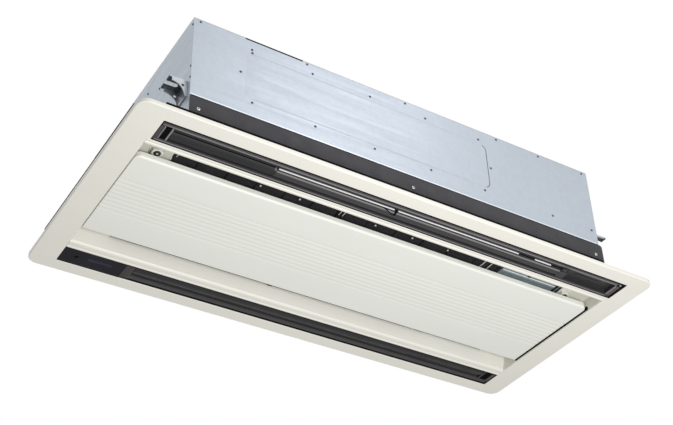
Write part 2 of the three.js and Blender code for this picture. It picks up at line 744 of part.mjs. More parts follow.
const shaftFoot = fanTop - FAN_HUB_DROP - SHAFT_PROUD;
const shaftLength = motorBase - GAP - shaftFoot;
for (const [side, x0, x1] of bellSpans) {
  const x = (x0 + x1) / 2;
  place(`bell_mouth_${side}`, bellMouth(x0, x1), 'black');
  place(`fan_wheel_${side}`, fanWheel(x), 'charcoal');
  place(`fan_shaft_${side}`, rod('z', [x, 0, shaftFoot], shaftLength, SHAFT_RADIUS), 'steel');
  place(
    `fan_motor_${side}`,
    rod('z', [x, 0, motorBase], MOTOR_HEIGHT, MOTOR_RADIUS, BIG_ROUND),
    'endZinc',
  );
  place(`motor_bracket_${side}`, motorBracket(x), 'zinc');
}

// ---------------------------------------------------------------- panel shell

function rail() {
  const outer = -panelY;
  const inner = -outletOuter;
  const shape = outline([
    [outer, 0],
    { at: [outer + PANEL_EDGE, faceZ + PANEL_EDGE], radius: PANEL_EDGE, from: 180, to: 270 },
    [inner, faceZ],
    [inner, PANEL_TUB],
    [inner - PANEL_WALL, PANEL_TUB],
    [inner - PANEL_WALL, faceZ + PANEL_WALL],
    [outer + PANEL_WALL, faceZ + PANEL_WALL],
    [outer + PANEL_WALL, 0],
  ]);
  return alongX(shape, -openX + GAP / 2, openX - GAP / 2);
}

function endCap() {
  const plan = (inset) => {
    const r = PANEL_CORNER - inset;
    const [x1, y1] = [panelX - inset, panelY - inset];
    return outline([
      [openX + GAP / 2 + inset, -y1],
      { at: [x1 - r, -y1 + r], radius: r, from: -90, to: 0 },
      { at: [x1 - r, y1 - r], radius: r, from: 0, to: 90 },
      [openX + GAP / 2 + inset, y1],
    ]);
  };
  const low = raised(plan(0), faceZ + PANEL_EDGE, 0);
  const shoulder = PANEL_EDGE * (1 - Math.SQRT1_2);
  const middle = raised(plan(shoulder), faceZ + shoulder, faceZ + PANEL_EDGE + OVERLAP);
  const face = raised(plan(PANEL_EDGE), faceZ, faceZ + PANEL_EDGE + OVERLAP);
  const seam = box(
    [openX + GAP / 2, -panelY + PANEL_EDGE, faceZ],
    [panelX - PANEL_CORNER, panelY - PANEL_EDGE, faceZ + PANEL_EDGE],
  );
  const hollow = raised(plan(PANEL_WALL), faceZ + PANEL_WALL, OVERLAP);
  const wall = box(
    [openX + GAP / 2, -outletOuter, faceZ + PANEL_WALL - OVERLAP],
    [openX + GAP / 2 + PANEL_WALL, outletOuter, PANEL_TUB],
  );
  const collarY = panelY - PANEL_WALL - OVERLAP;
  const collar = box(
    [openX + GAP / 2, -collarY, faceZ + PANEL_WALL - OVERLAP],
    [openX + CAP_COLLAR, collarY, -COLLAR_DROP],
  );
  return join(cut(join(low, middle, face, seam), hollow), wall, collar);
}

/** What would run into the casing's end plates, between two depths. */
function pastTheCasing(y0, y1) {
  const foot = BODY_LIFT - GAP;
  const top = ductTop + OVERLAP;
  return [
    box([-openX - OVERLAP, y0 - OVERLAP, foot], [-insideX, y1 + OVERLAP, top]),
    box([insideX, y0 - OVERLAP, foot], [openX + OVERLAP, y1 + OVERLAP, top]),
  ];
}

function band() {
  const outer = -outletInner;
  const inner = -recessY;
  const ledge = -ledgeY;
  const shape = outline([
    [outer, faceZ],
    { at: [inner - BAND_EDGE, faceZ + BAND_EDGE], radius: BAND_EDGE, from: -90, to: 0 },
    [ledge, INTAKE_PLATE_Z],
    [ledge, plateTop],
    [inner, plateTop],
    [inner, ductTop],
    [inner - PANEL_WALL, ductTop],
    [inner - PANEL_WALL, INTAKE_PLATE_Z],
    [ledge - PANEL_WALL, INTAKE_PLATE_Z],
    {
      at: [inner - BAND_EDGE, faceZ + BAND_EDGE],
      radius: BAND_EDGE - PANEL_WALL,
      from: 0,
      to: -90,
    },
    [outer + PANEL_WALL, faceZ + PANEL_WALL],
    [outer + PANEL_WALL, PANEL_TUB],
    [outer, PANEL_TUB],
  ]);
  return cut(alongX(shape, -openX + GAP, openX - GAP), ...pastTheCasing(outer, inner));
}

placePair('panel_rail', rail(), 'white');
placePair('panel_cap', endCap(), 'white', ['right', 'left']);
placePair('panel_band', band(), 'white');

/** The plate over one end of the intake recess, with its end wall and a hexagonal screw boss. */
function endPlate(sign) {
  const halfY = ledgeY - GAP;
  const footY = recessY - GAP;
  const [x0, x1] = [sign * endPlateX, sign * (openX - GAP)].sort((a, b) => a - b);
  const plate = box([x0, -halfY, INTAKE_PLATE_Z], [x1, halfY, plateTop]);
  const [wall0, wall1] = [openX - GAP - END_FLANGE, openX - GAP].map((x) => sign * x).sort((a, b) => a - b);
  const wall = alongX(outline([
    [-footY, -END_FLANGE_DROP],
    [footY, -END_FLANGE_DROP],
    [footY, faceZ + BAND_EDGE],
    [halfY, INTAKE_PLATE_Z],
    [halfY, plateTop],
    [-halfY, plateTop],
    [-halfY, INTAKE_PLATE_Z],
    [-footY, faceZ + BAND_EDGE],
  ]), wall0, wall1);
  const bossFoot = INTAKE_PLATE_Z - BOSS_HEIGHT;
  const bossX = sign * (openX - BOSS_INSET);
  const boss = rod('z', [bossX, -BOSS_Y, bossFoot], BOSS_HEIGHT + OVERLAP, BOSS_RADIUS, 6);
  const screw = rod('z', [bossX, -BOSS_Y, bossFoot - SCREW_PROUD], BOSS_HEIGHT, SCREW_RADIUS);
  return join(plate, wall, boss, screw);
}

const lugSpan = HINGE_ARM + 2 * (RUNNING_GAP + HINGE_LUG);

/** Hinge lug pair with a bore, hanging from the end plate at x = sign * hingeX. */
function hingeLugs(sign) {
  const lugs = [-1, 1].map((side) => {
    const near = sign * hingeX + side * (HINGE_ARM / 2 + RUNNING_GAP);
    const far = near + side * HINGE_LUG;
    const [x0, x1] = [near, far].sort((a, b) => a - b);
    return join(
      rod('x', [x0, hingeY, hingeZ], x1 - x0, HINGE_EYE, SMALL_ROUND),
      box([x0, hingeY - HINGE_EYE, hingeZ], [x1, hingeY + HINGE_EYE, INTAKE_PLATE_Z + OVERLAP]),
    );
  });
  const boreStart = sign * hingeX - lugSpan / 2 - OVERLAP;
  const bore = rod('x', [boreStart, hingeY, hingeZ], lugSpan + 2 * OVERLAP, HINGE_PIN + GAP, SMALL_ROUND);
  return cut(join(...lugs), bore);
}

place('recess_plate_left', join(endPlate(-1), hingeLugs(-1)), 'recess');
place('recess_plate_right', join(endPlate(1), hingeLugs(1)), 'recess');

/** A catch under the end plate, open below for the grille's tongue. */
function grilleCatch(x) {
  const half = CATCH_SIZE / 2;
  const top = INTAKE_PLATE_Z - GAP;
  const slot = TONGUE / 2 + CATCH_PLAY;
  return cut(
    box([x - half, catchY - half, top - CATCH_HEIGHT], [x + half, catchY + half, top]),
    box(
      [x - slot, catchY - slot, top - CATCH_HEIGHT - OVERLAP],
      [x + slot, catchY + slot, top - CATCH_ROOF],
    ),
  );
}

const pinLength = lugSpan + 2 * PIN_PROUD;
for (const [side, sign] of [['left', -1], ['right', 1]]) {
  const pinStart = [sign * hingeX - pinLength / 2, hingeY, hingeZ];
  place(`hinge_pin_${side}`, rod('x', pinStart, pinLength, HINGE_PIN, SMALL_ROUND), 'steel');
  place(`grille_catch_${side}`, grilleCatch(sign * (openX - CATCH_INSET)), 'charcoal');
}

// ---------------------------------------------------------------- filters and electric box

place('filter_rail', box(
  [FILTER_RAIL_X - FILTER_RAIL_WIDTH / 2, -ledgeY + GAP, INTAKE_PLATE_Z],
  [FILTER_RAIL_X + FILTER_RAIL_WIDTH / 2, ledgeY - GAP, plateTop],
), 'white');

function filter(x0, x1) {
  const z0 = plateTop + GAP;
  const half = recessY - GAP;
  return box([x0, -half, z0], [x1, half, z0 + FILTER_THICK]);
}

place('filter_left', filter(-endPlateX - FILTER_LAP, FILTER_RAIL_X - GAP), 'black');
place('filter_right', filter(FILTER_RAIL_X + GAP, boxStartX - GAP), 'black');

const lidTop = plateTop + GAP + BOX_LID;
const boxX = boxStartX + BOX_SETBACK;
const boxEnd = panIntakeX - BOX_PLAY_X;
const boxY = panIntakeY - BOX_PLAY_Y;
const boxTop = lidTop + GAP + BOX_HEIGHT;
place('electric_box_cover', box(
  [boxStartX, -recessY + GAP, plateTop + GAP],
  [endPlateX + FILTER_LAP, recessY - GAP, lidTop],
), 'zinc');
place('electric_box', cut(
  box([boxX, -boxY, lidTop + GAP], [boxEnd, boxY, boxTop]),
  box(
    [boxX + SHEET, -boxY + SHEET, lidTop - OVERLAP],
    [boxEnd - SHEET, boxY - SHEET, boxTop - SHEET],
  ),
), 'zinc');

function cableGland() {
  const start = bodyX - SHEET - GLAND_TAIL;
  const hexStart = bodyX + GAP;
  const capStart = hexStart + GLAND_HEX;
  const end = capStart + GLAND_CAP;
  return cut(
    join(
      rod('x', [start, GLAND_Y, GLAND_Z], capStart - start, GLAND_THREAD),
      rod('x', [hexStart, GLAND_Y, GLAND_Z], GLAND_HEX, GLAND_RADIUS, 6),
      rod('x', [capStart, GLAND_Y, GLAND_Z], GLAND_CAP, GLAND_CAP_RADIUS, ROUND, GLAND_MOUTH),
    ),
    rod('x', [start - OVERLAP, GLAND_Y, GLAND_Z], end - start + 2 * OVERLAP, GLAND_BORE),
  );
}

place('cable_gland', cableGland(), 'black');

// ---------------------------------------------------------------- outlets, louvres, receiver

const frameOuter = -(outletOuter - GAP);
const frameInner = -(outletInner + GAP);
const frameX = openX - GAP;
const lipZ = faceZ + FRAME_RECESS;
const ductStart = -(frameX - FRAME_BORDER - FRAME_POCKET);
const recessEnd = frameX - FRAME_BORDER;
const barEnd = recessEnd - FRAME_END;
const ductEnd = barEnd - FRAME_BAR_WIDTH;
const pocketTop = LOUVRE_PIVOT_Z + LOUVRE_MOTOR_RADIUS + GAP;

function outletFrame() {
  const wallY = -ductWallY;
  const shellY = wallY - FRAME_WALL;
  const innerY = frameInner - FRAME_WALL;
  const below = lipZ - OVERLAP;
  const above = ductTop + OVERLAP;
  const past = frameX + OVERLAP;
  const block = box([-frameX, frameOuter, lipZ], [frameX, frameInner, ductTop]);
  const lipSlope = alongX(outline([
    [frameOuter - OVERLAP, below],
    [frameOuter, lipZ],
    [wallY, lipZ + FRAME_SLOPE],
    [wallY + FRAME_WALL, lipZ + FRAME_SLOPE],
    [wallY + FRAME_WALL, below],
  ]), -past, past);
  const behindLip = alongX(outline([
    [frameOuter - OVERLAP, lipZ + FRAME_WALL],
    [shellY, lipZ + FRAME_SLOPE + FRAME_WALL],
    [shellY, above],
    [frameOuter - OVERLAP, above],
  ]), -past, ductEnd + FRAME_WALL);
  const roofZ = BODY_LIFT - GAP - FRAME_WALL;
  const duct = join(
    box([ductStart, wallY, below], [ductEnd, innerY, roofZ]),
    box([-panOutletX, wallY, below], [ductEnd, innerY, above]),
  );
  const pocket = box(
    [-frameX + FRAME_BORDER, wallY, below],
    [ductStart - FRAME_WALL, innerY, pocketTop],
  );
  const endRecess = box([barEnd, wallY, below], [recessEnd, innerY, FRAME_FLOOR]);
  const aboveFloors = [
    ...pastTheCasing(frameOuter, frameInner),
    box(
      [-past, shellY, pocketTop + FRAME_WALL],
      [ductStart - FRAME_WALL, frameInner + OVERLAP, above],
    ),
    box(
      [ductEnd + FRAME_WALL, frameOuter - OVERLAP, FRAME_FLOOR + FRAME_WALL],
      [past, frameInner + OVERLAP, above],
    ),
  ];
  const bore = rod(
    'x',
    [ductStart - FRAME_WALL - OVERLAP, -louvreY, LOUVRE_PIVOT_Z],
    ductEnd - ductStart + 2 * (FRAME_WALL + OVERLAP),
    LOUVRE_PIN + GAP,
    SMALL_ROUND,
  );
  return cut(block, lipSlope, behindLip, duct, pocket, endRecess, ...aboveFloors, bore);
}

function louvre() {
  const [y, z] = [-louvreY, LOUVRE_PIVOT_Z];
  const start = ductStart + LOUVRE_END_GAP;
  const end = ductEnd - LOUVRE_END_GAP;
  const crown = new THREE.QuadraticBezierCurve(
    new THREE.Vector2(y - LOUVRE_REACH, z - LOUVRE_RADIUS * LOUVRE_TIP),
    new THREE.Vector2(y - LOUVRE_REACH * LOUVRE_TIP, z - LOUVRE_RADIUS),
    new THREE.Vector2(y, z - LOUVRE_RADIUS),
  ).getPoints(ARC_STEPS);
  const front = crown.map((point) => [point.x, point.y]);
  const back = front.map(([px, pz], i) => [px + (i === 0 ? OVERLAP : 0), pz + LOUVRE_WALL]).reverse();
  const blade = alongX(outline([
    ...front,
    { at: [y, z], radius: LOUVRE_RADIUS, from: -90, to: LOUVRE_BROW },
    { at: [y, z], radius: LOUVRE_RADIUS - LOUVRE_WALL, from: LOUVRE_BROW, to: -90 },
    ...back,
  ]), start, end);
  const lugs = [start, end - LOUVRE_LUG].map((x) => join(
    rod('x', [x, y, z], LOUVRE_LUG, LOUVRE_EYE, SMALL_ROUND),
    box(
      [x, y - LOUVRE_EYE, z - LOUVRE_RADIUS + OVERLAP],
      [x + LOUVRE_LUG, y + LOUVRE_EYE, z],
    ),
  ));
  const pins = [start - LOUVRE_PIN_LENGTH, end - OVERLAP].map((x) => (
    rod('x', [x, y, z], LOUVRE_PIN_LENGTH + OVERLAP, LOUVRE_PIN, SMALL_ROUND)
  ));
  return join(blade, ...lugs, ...pins);
}

placePair('outlet_frame', outletFrame(), 'charcoal');
placePair('louvre', louvre(), 'charcoal');
placePair('louvre_motor', rod(
  'x',
  [ductStart - FRAME_WALL - GAP - LOUVRE_MOTOR_LENGTH, -louvreY, LOUVRE_PIVOT_Z],
  LOUVRE_MOTOR_LENGTH,
  LOUVRE_MOTOR_RADIUS,
  ROUND,
), 'black');

const windowLow = [barEnd + WINDOW_PLAY, -ductWallY + WINDOW_PLAY, lipZ - GAP];
const windowHigh = [recessEnd - WINDOW_PLAY, frameInner - FRAME_WALL - WINDOW_PLAY, FRAME_FLOOR - GAP];
const lensZ = windowLow[2] - WINDOW_LENS;
const buttonY = (windowLow[1] + windowHigh[1]) / 2;
const boardZ = windowLow[2] + BOARD_LIFT;
const buttonX = frameX - BUTTON_INSET;

place('receiver_window', cut(
  join(
    box([barEnd, frameOuter + GAP, lensZ], [frameX - GAP, frameInner - GAP, windowLow[2]]),
    box([windowLow[0], windowLow[1], lensZ + OVERLAP / 2], windowHigh),
  ),
  box(
    [windowLow[0] + WINDOW_WALL, windowLow[1] + WINDOW_WALL, windowLow[2]],
    [windowHigh[0] - WINDOW_WALL, windowHigh[1] - WINDOW_WALL, windowHigh[2] + OVERLAP],
  ),
  rod('z', [buttonX, buttonY, lensZ - OVERLAP], WINDOW_LENS + 2 * OVERLAP, BUTTON_RADIUS + GAP),
), 'gloss', farSide);
place('receiver_board', box(
  [windowLow[0] + WINDOW_WALL + GAP, windowLow[1] + WINDOW_WALL + GAP, boardZ],
  [windowHigh[0] - WINDOW_WALL - GAP, windowHigh[1] - WINDOW_WALL - GAP, boardZ + BOARD_THICK],
), 'board', farSide);
const buttonHeight = boardZ - BUTTON_TRAVEL - GAP - lensZ;
place(
  'manual_button',
  rod('z', [buttonX, buttonY, lensZ], buttonHeight, BUTTON_RADIUS),
  'charcoal',
  farSide,
);

// ---------------------------------------------------------------- intake grille

function grille() {
  const x = grilleX;
  const corner = (signX, signY, radius, edgeY, from) => ({
    at: [signX * (x - radius), edgeY - signY * radius],
    radius,
    from,
    to: from + 90,
  });
  const plan = raised(outline([
    corner(1, -1, GRILLE_CORNER, grilleNear, -90),
    corner(1, 1, GRILLE_FAR_CORNER, grilleFar, 0),
    corner(-1, 1, GRILLE_FAR_CORNER, grilleFar, 90),
    corner(-1, -1, GRILLE_CORNER, grilleNear, 180),
  ]), grilleFront, grilleBack);
  const middle = (grilleNear + grilleFar) / 2;
  const half = (GROOVE_PITCH - GROOVE_FLAT) / 2;
  const grooves = Array.from({ length: GROOVES }, (_, i) => {
    const at = middle + (i - (GROOVES - 1) / 2) * GROOVE_PITCH;
    return [[at - half, grilleFront], [at, grilleFront + GROOVE_DEPTH], [at + half, grilleFront]];
  }).flat();
  const near = GRILLE_EDGE;
  const far = GRILLE_FAR_EDGE;
  const section = alongX(outline([
    ...grooves,
    { at: [grilleFar - far, grilleFront + far], radius: far, from: -90, to: 0 },
    [grilleFar, grilleBack],
    [grilleNear, grilleBack],
    { at: [grilleNear + near, grilleFront + near], radius: near, from: 180, to: 270 },
  ]), -x, x);
  const pocketX = x - GRILLE_WALL;
  const pocket = raised(
    roundedRect(-pocketX, grilleNear + near, pocketX, grilleFar - GRILLE_WALL, GRILLE_POCKET_CORNER),
    grilleFront + GRILLE_WALL,
    grilleBack + OVERLAP,
  );
  return cut(plan.intersect(section), pocket);
}

function grilleArm(sign) {
  const x0 = sign * hingeX - HINGE_ARM / 2;
  const x1 = x0 + HINGE_ARM;
  const arm = join(
    rod('x', [x0, hingeY, hingeZ], HINGE_ARM, HINGE_EYE, SMALL_ROUND),
    box([x0, hingeY - HINGE_EYE, grilleFront + OVERLAP], [x1, hingeY + HINGE_EYE, hingeZ]),
  );
  const bore = rod(
    'x',
    [x0 - OVERLAP, hingeY, hingeZ],
    HINGE_ARM + 2 * OVERLAP,
    HINGE_PIN + GAP,
    SMALL_ROUND,
  );
  return cut(arm, bore);
}

function grilleTongue(sign) {
  const x = sign * (openX - CATCH_INSET);
  return box(
    [x - TONGUE / 2, catchY - TONGUE / 2, grilleFront + OVERLAP],
    [x + TONGUE / 2, catchY + TONGUE / 2, grilleBack + TONGUE_HEIGHT],
  );
}

place('intake_grille', join(
  grille(),
  ...[-1, 1].map(grilleArm),
  ...[-1, 1].map(grilleTongue),
), 'white');

export default unit;
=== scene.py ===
"""Two-way ceiling cassette air conditioner: its visible surfaces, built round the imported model.

Sizes are written in millimetres and turned into metres where a mesh is made.
The origin is the centre of the ceiling plane, +Z is up, X runs along the unit.
"""

import json
import logging
import math
from collections.abc import Iterable, Sequence
from dataclasses import dataclass
from enum import Enum

import bmesh
import bpy
from mathutils import Matrix, Vector

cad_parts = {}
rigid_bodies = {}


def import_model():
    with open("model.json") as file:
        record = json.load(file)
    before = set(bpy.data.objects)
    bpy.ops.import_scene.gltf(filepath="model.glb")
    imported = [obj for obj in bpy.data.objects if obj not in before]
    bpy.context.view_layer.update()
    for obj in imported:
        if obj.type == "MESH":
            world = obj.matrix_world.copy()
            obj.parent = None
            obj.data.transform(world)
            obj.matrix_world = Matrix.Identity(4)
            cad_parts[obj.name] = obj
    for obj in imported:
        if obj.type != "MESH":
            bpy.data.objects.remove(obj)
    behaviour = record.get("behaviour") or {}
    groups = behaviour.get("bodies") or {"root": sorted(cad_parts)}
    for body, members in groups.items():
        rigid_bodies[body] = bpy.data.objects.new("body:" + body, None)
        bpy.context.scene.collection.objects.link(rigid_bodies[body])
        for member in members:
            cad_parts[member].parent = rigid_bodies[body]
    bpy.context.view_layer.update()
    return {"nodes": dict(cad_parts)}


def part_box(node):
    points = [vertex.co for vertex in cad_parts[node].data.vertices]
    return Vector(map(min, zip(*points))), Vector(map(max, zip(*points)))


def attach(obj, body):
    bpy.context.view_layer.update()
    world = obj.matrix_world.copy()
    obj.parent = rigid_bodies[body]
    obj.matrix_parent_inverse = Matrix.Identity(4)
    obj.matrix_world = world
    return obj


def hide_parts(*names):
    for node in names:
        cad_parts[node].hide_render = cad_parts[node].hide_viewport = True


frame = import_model()

LOG = logging.getLogger("cassette")
MM = 0.001
ROOT = "casing"
TINY = 1e-3
BOTH = (-1.0, 1.0)
DOWN = (0.0, 0.0, -1.0)

Point = tuple[float, float, float]
Flat = tuple[float, float]
Slab = tuple[float, float, float, float, float, float]  # a box's ranges along X, Y and Z
Spot = tuple[Point, Point]  # a place and the way that it faces
Socket = bpy.types.NodeSocket
Material = bpy.types.Material
Object = bpy.types.Object


class Axis(Enum):
    """A direction of the frame."""

    X = 0
    Y = 1
    Z = 2

    def place(self, along: float, across: float, up: float) -> Point:
        """A point from its distance along this axis and its two other coordinates in cyclic order."""
        point = [along, across, up]
        return tuple(point[(i - self.value) % 3] for i in range(3))


class Place(Enum):
    """A place whose lower-case name ends the names of nodes and pieces."""

    @property
    def label(self) -> str:
        """The word that names end in."""
        return self.name.lower()


class Side(Place):
    """The long side of the unit that a piece is on; the far side is the near one turned half way round."""

    NEAR = 1
    FAR = -1


class End(Place):
    """The end of the unit that a piece is on."""

    LEFT = -1
    RIGHT = 1


# ------------------------------------------------------------------ finishes


def add_node(
    tree: bpy.types.NodeTree, kind: str, inputs: dict[str | int, object] | None = None, **settings: object
) -> bpy.types.Node:
    """Adds a node to a tree.

    Args:
        tree: the tree of a material, the world or a recipe.
        kind: the node's type.
        inputs: for each socket, its plain value or the output that it is linked to.
        settings: the node's other properties.

    Returns:
        The node.
    """
    made = tree.nodes.new(kind)
    for name, value in settings.items():
        setattr(made, name, value)
    for socket, value in (inputs or {}).items():
        if isinstance(value, Socket):
            tree.links.new(value, made.inputs[socket])
        else:
            made.inputs[socket].default_value = value
    return made


def lighter(colour: Sequence[float], by: float) -> Point:
    """A colour times one plus a share."""
    return tuple(min(1.0, channel * (1.0 + by)) for channel in colour)


class Shading:
    """A material under construction: its node tree and its Principled shader."""

    LOW, HIGH = 0.3, 0.7  # the part of a texture's range that its values mostly lie in

    def __init__(self, name: str, colour: Point, roughness: float, metallic: float = 0.0) -> None:
        """Starts a material with its plain values on the shader's own sockets."""
        self.colour, self.roughness = colour, roughness
        self.material = bpy.data.materials.new(name)
        self.material.use_nodes = True
        self.tree = self.material.node_tree
        self.shader = self.tree.nodes["Principled BSDF"]
        self.set("Base Color", (*colour, 1.0))
        self.set("Roughness", roughness)
        self.set("Metallic", metallic)
        self.coordinates = self.node("ShaderNodeTexCoord", "Object")

    def set(self, socket: str, value: float | tuple[float, ...]) -> None:
        """Sets one of the shader's plain values."""
        self.shader.inputs[socket].default_value = value

    def join(self, output: Socket, target: str) -> None:
        """Links an output to one of the shader's sockets."""
        self.tree.links.new(output, self.shader.inputs[target])

    def node(
        self, kind: str, output: str | int, inputs: dict[str | int, object] | None = None, **settings: object
    ) -> Socket:
        """Adds a node and gives one of its outputs."""
        return add_node(self.tree, kind, inputs, **settings).outputs[output]

    def placed(self, stretch: Point = (1.0, 1.0, 1.0)) -> Socket:
        """Object coordinates; a low stretch draws a pattern out along that axis."""
        return self.node("ShaderNodeMapping", "Vector", {"Scale": stretch, "Vector": self.coordinates})

    def noise(self, scale: float, detail: float = 2.0, stretch: Point = (1.0, 1.0, 1.0)) -> Socket:
        """Soft noise; scale is in features per metre."""
        inputs = {"Scale": scale, "Detail": detail, "Vector": self.placed(stretch)}
        return self.node("ShaderNodeTexNoise", "Fac", inputs)

    def cells(self, scale: float, output: str = "Color") -> Socket:
        """Crystals or beads; scale is in cells per metre."""
        return self.node("ShaderNodeTexVoronoi", output, {"Scale": scale, "Vector": self.placed()})

    def bands(self, direction: str, scale: float, distortion: float = 0.0) -> Socket:
        """Parallel bands across one axis; scale is in bands per metre, over six."""
        inputs = {"Scale": scale, "Distortion": distortion, "Vector": self.placed()}
        return self.node("ShaderNodeTexWave", "Fac", inputs, bands_direction=direction)

    def tint(self, value: Socket, low: Point, high: Point) -> Socket:
        """Maps a texture to a blend of two colours."""
        ramp = add_node(self.tree, "ShaderNodeValToRGB", {"Fac": value})
        for element, position, colour in zip(ramp.color_ramp.elements, (self.LOW, self.HIGH), (low, high)):
            element.position, element.color = position, (*colour, 1.0)
        return ramp.outputs["Color"]

    def shades(self, value: Socket, low: float, high: float) -> Socket:
        """Maps a texture to shades of the plain colour, this share darker or lighter."""
        return self.tint(value, lighter(self.colour, low), lighter(self.colour, high))

    def mixed(self, share: float, first: Socket, second: Socket) -> Socket:
        """Blends two colours; share is the second one's."""
        return self.node("ShaderNodeMix", 2, {0: share, 6: first, 7: second}, data_type="RGBA")

    def paint(self, colour: Socket) -> None:
        """Gives the shader its colour."""
        self.join(colour, "Base Color")

    def polish(self, value: Socket, below: float, above: float) -> None:
        """Lets a texture take the roughness this far below and above its plain value."""
        inputs = {
            "Value": value, "From Min": self.LOW, "From Max": self.HIGH,
            "To Min": self.roughness - below, "To Max": self.roughness + above,
        }
        self.join(self.node("ShaderNodeMapRange", "Result", inputs), "Roughness")

    def bump(self, height: Socket, depth: float, under: Socket | None = None) -> Socket:
        """Bumps the surface.

        Args:
            height: the texture whose highs stand out.
            depth: full height of the bumps, in millimetres.
            under: a bump that this one lies on.

        Returns:
            The normal, already plugged into the shader.
        """
        inputs = {"Distance": depth * MM, "Height": height} | ({} if under is None else {"Normal": under})
        normal = self.node("ShaderNodeBump", "Normal", inputs)
        self.join(normal, "Normal")
        return normal


@dataclass(frozen=True)
class Finish:
    """A finish: its material's name, the record's slot that it goes with, and its plain values."""

    name: str
    slot: str
    colour: Point
    roughness: float = 0.4
    metallic: float = 0.0

    def make(self) -> Material:
        """Builds the material."""
        shading = Shading(self.name, self.colour, self.roughness, self.metallic)
        self.work(shading)
        return shading.material

    def work(self, shading: Shading) -> None:
        """Adds the detail that a real surface of this kind shows."""
        raise NotImplementedError


@dataclass(frozen=True)
class GalvanisedSheet(Finish):
    """Zinc-coated sheet: faint crystals, drawn-out rolling streaks and soft cloudy reflections."""

    streaks: Point = (0.6, 14.0, 14.0)

    def work(self, shading: Shading) -> None:
        """Adds crystals, clouds and streaks."""
        crystals = shading.shades(shading.cells(95.0), -0.035, 0.03)
        clouds = shading.shades(shading.noise(3.2, 3.0), -0.05, 0.04)
        shading.paint(shading.mixed(0.5, crystals, clouds))
        shading.polish(shading.noise(9.0, 4.0, self.streaks), 0.06, 0.08)
        buckle = shading.bump(shading.noise(2.4, 1.0), 2.2)
        shading.bump(shading.noise(420.0, 2.0), 0.012, buckle)


@dataclass(frozen=True)
class SatinMoulding(Finish):
    """Moulded plastic: a fine spark-eroded grain, faint flow marks and a soft sheen."""

    grain: float = 0.035
    grain_scale: float = 900.0
    variation: float = 0.012

    def work(self, shading: Shading) -> None:
        """Adds flow marks and grain."""
        flow = shading.noise(5.0, 2.0, (0.5, 2.0, 2.0))
        shading.paint(shading.shades(flow, -self.variation, self.variation))
        shading.polish(shading.noise(26.0, 3.0), 0.035, 0.035)
        shading.bump(shading.noise(self.grain_scale, 1.0), self.grain)


@dataclass(frozen=True)
class ScuffedTrim(Finish):
    """Dark moulded trim: coarse leather-like grain with paler handling scuffs."""

    grain: float = 0.05
    scuff: float = 0.35
    gloss: float = 0.5

    def work(self, shading: Shading) -> None:
        """Adds scuffs and grain."""
        shading.set("Specular IOR Level", self.gloss)
        body = shading.shades(shading.noise(14.0, 3.0), -0.12, 0.12)
        rubbed = shading.shades(shading.noise(60.0, 5.0, (0.35, 1.0, 1.0)), 0.0, self.scuff)
        shading.paint(shading.mixed(0.35, body, rubbed))
        shading.polish(shading.noise(38.0, 4.0), 0.08, 0.1)
        shading.bump(shading.cells(620.0, "Distance"), self.grain)


@dataclass(frozen=True)
class PressedSteel(Finish):
    """Zinc-plated pressed steel: fine drawn lines, a few darker rubs."""

    metallic: float = 0.9

    def work(self, shading: Shading) -> None:
        """Adds rubs and drawn lines."""
        shading.paint(shading.shades(shading.noise(48.0, 4.0), -0.12, 0.06))
        lines = shading.noise(150.0, 3.0, (1.0, 1.0, 8.0))
        shading.polish(lines, 0.07, 0.09)
        shading.bump(lines, 0.01)


@dataclass(frozen=True)
class DrawnMetal(Finish):
    """Copper tube or turned brass: warm metal that has dulled in patches."""

    dull: Point = (0.4, 0.2, 0.1)

    def work(self, shading: Shading) -> None:
        """Adds the dull patches."""
        shading.paint(shading.tint(shading.noise(34.0, 5.0), self.dull, self.colour))
        shading.polish(shading.noise(70.0, 3.0), 0.06, 0.16)
        shading.bump(shading.noise(260.0, 2.0), 0.02)


@dataclass(frozen=True)
class BeadFoam(Finish):
    """Moulded bead foam: pressed beads with tight dark joints."""

    beads: float = 260.0

    def work(self, shading: Shading) -> None:
        """Adds the beads."""
        shading.paint(shading.shades(shading.cells(self.beads), -0.06, 0.03))
        shading.polish(shading.noise(120.0), 0.08, 0.08)
        shading.bump(shading.cells(self.beads, "Distance"), 0.4)


@dataclass(frozen=True)
class CoatedFin(Finish):
    """Thin aluminium fin with a pale anti-corrosion coat and darker rolled lines."""

    def work(self, shading: Shading) -> None:
        """Adds the rolled lines."""
        lines = shading.bands("Z", 13.0)
        shading.paint(shading.shades(lines, -0.16, 0.05))
        shading.polish(shading.noise(90.0), 0.08, 0.08)
        shading.bump(lines, 0.2)


@dataclass(frozen=True)
class DarkLens(Finish):
    """Smoked receiver window: nearly black and smooth, with a faint violet cast inside."""

    inner: Point = (0.012, 0.011, 0.018)

    def work(self, shading: Shading) -> None:
        """Adds the violet cast and a faint waviness."""
        shading.set("Specular IOR Level", 0.14)
        shading.paint(shading.tint(shading.noise(30.0, 2.0), self.colour, self.inner))
        shading.polish(shading.noise(18.0, 3.0), 0.02, 0.04)
        shading.bump(shading.noise(40.0, 1.0), 0.02)


@dataclass(frozen=True)
class BoardLaminate(Finish):
    """Circuit board: green resist over rows of copper tracks."""

    track: Point = (0.06, 0.19, 0.08)

    def work(self, shading: Shading) -> None:
        """Adds the tracks."""
        tracks = shading.bands("Y", 70.0, 3.0)
        shading.paint(shading.tint(tracks, self.colour, self.track))
        shading.polish(shading.noise(80.0), 0.06, 0.08)
        shading.bump(tracks, 0.03)


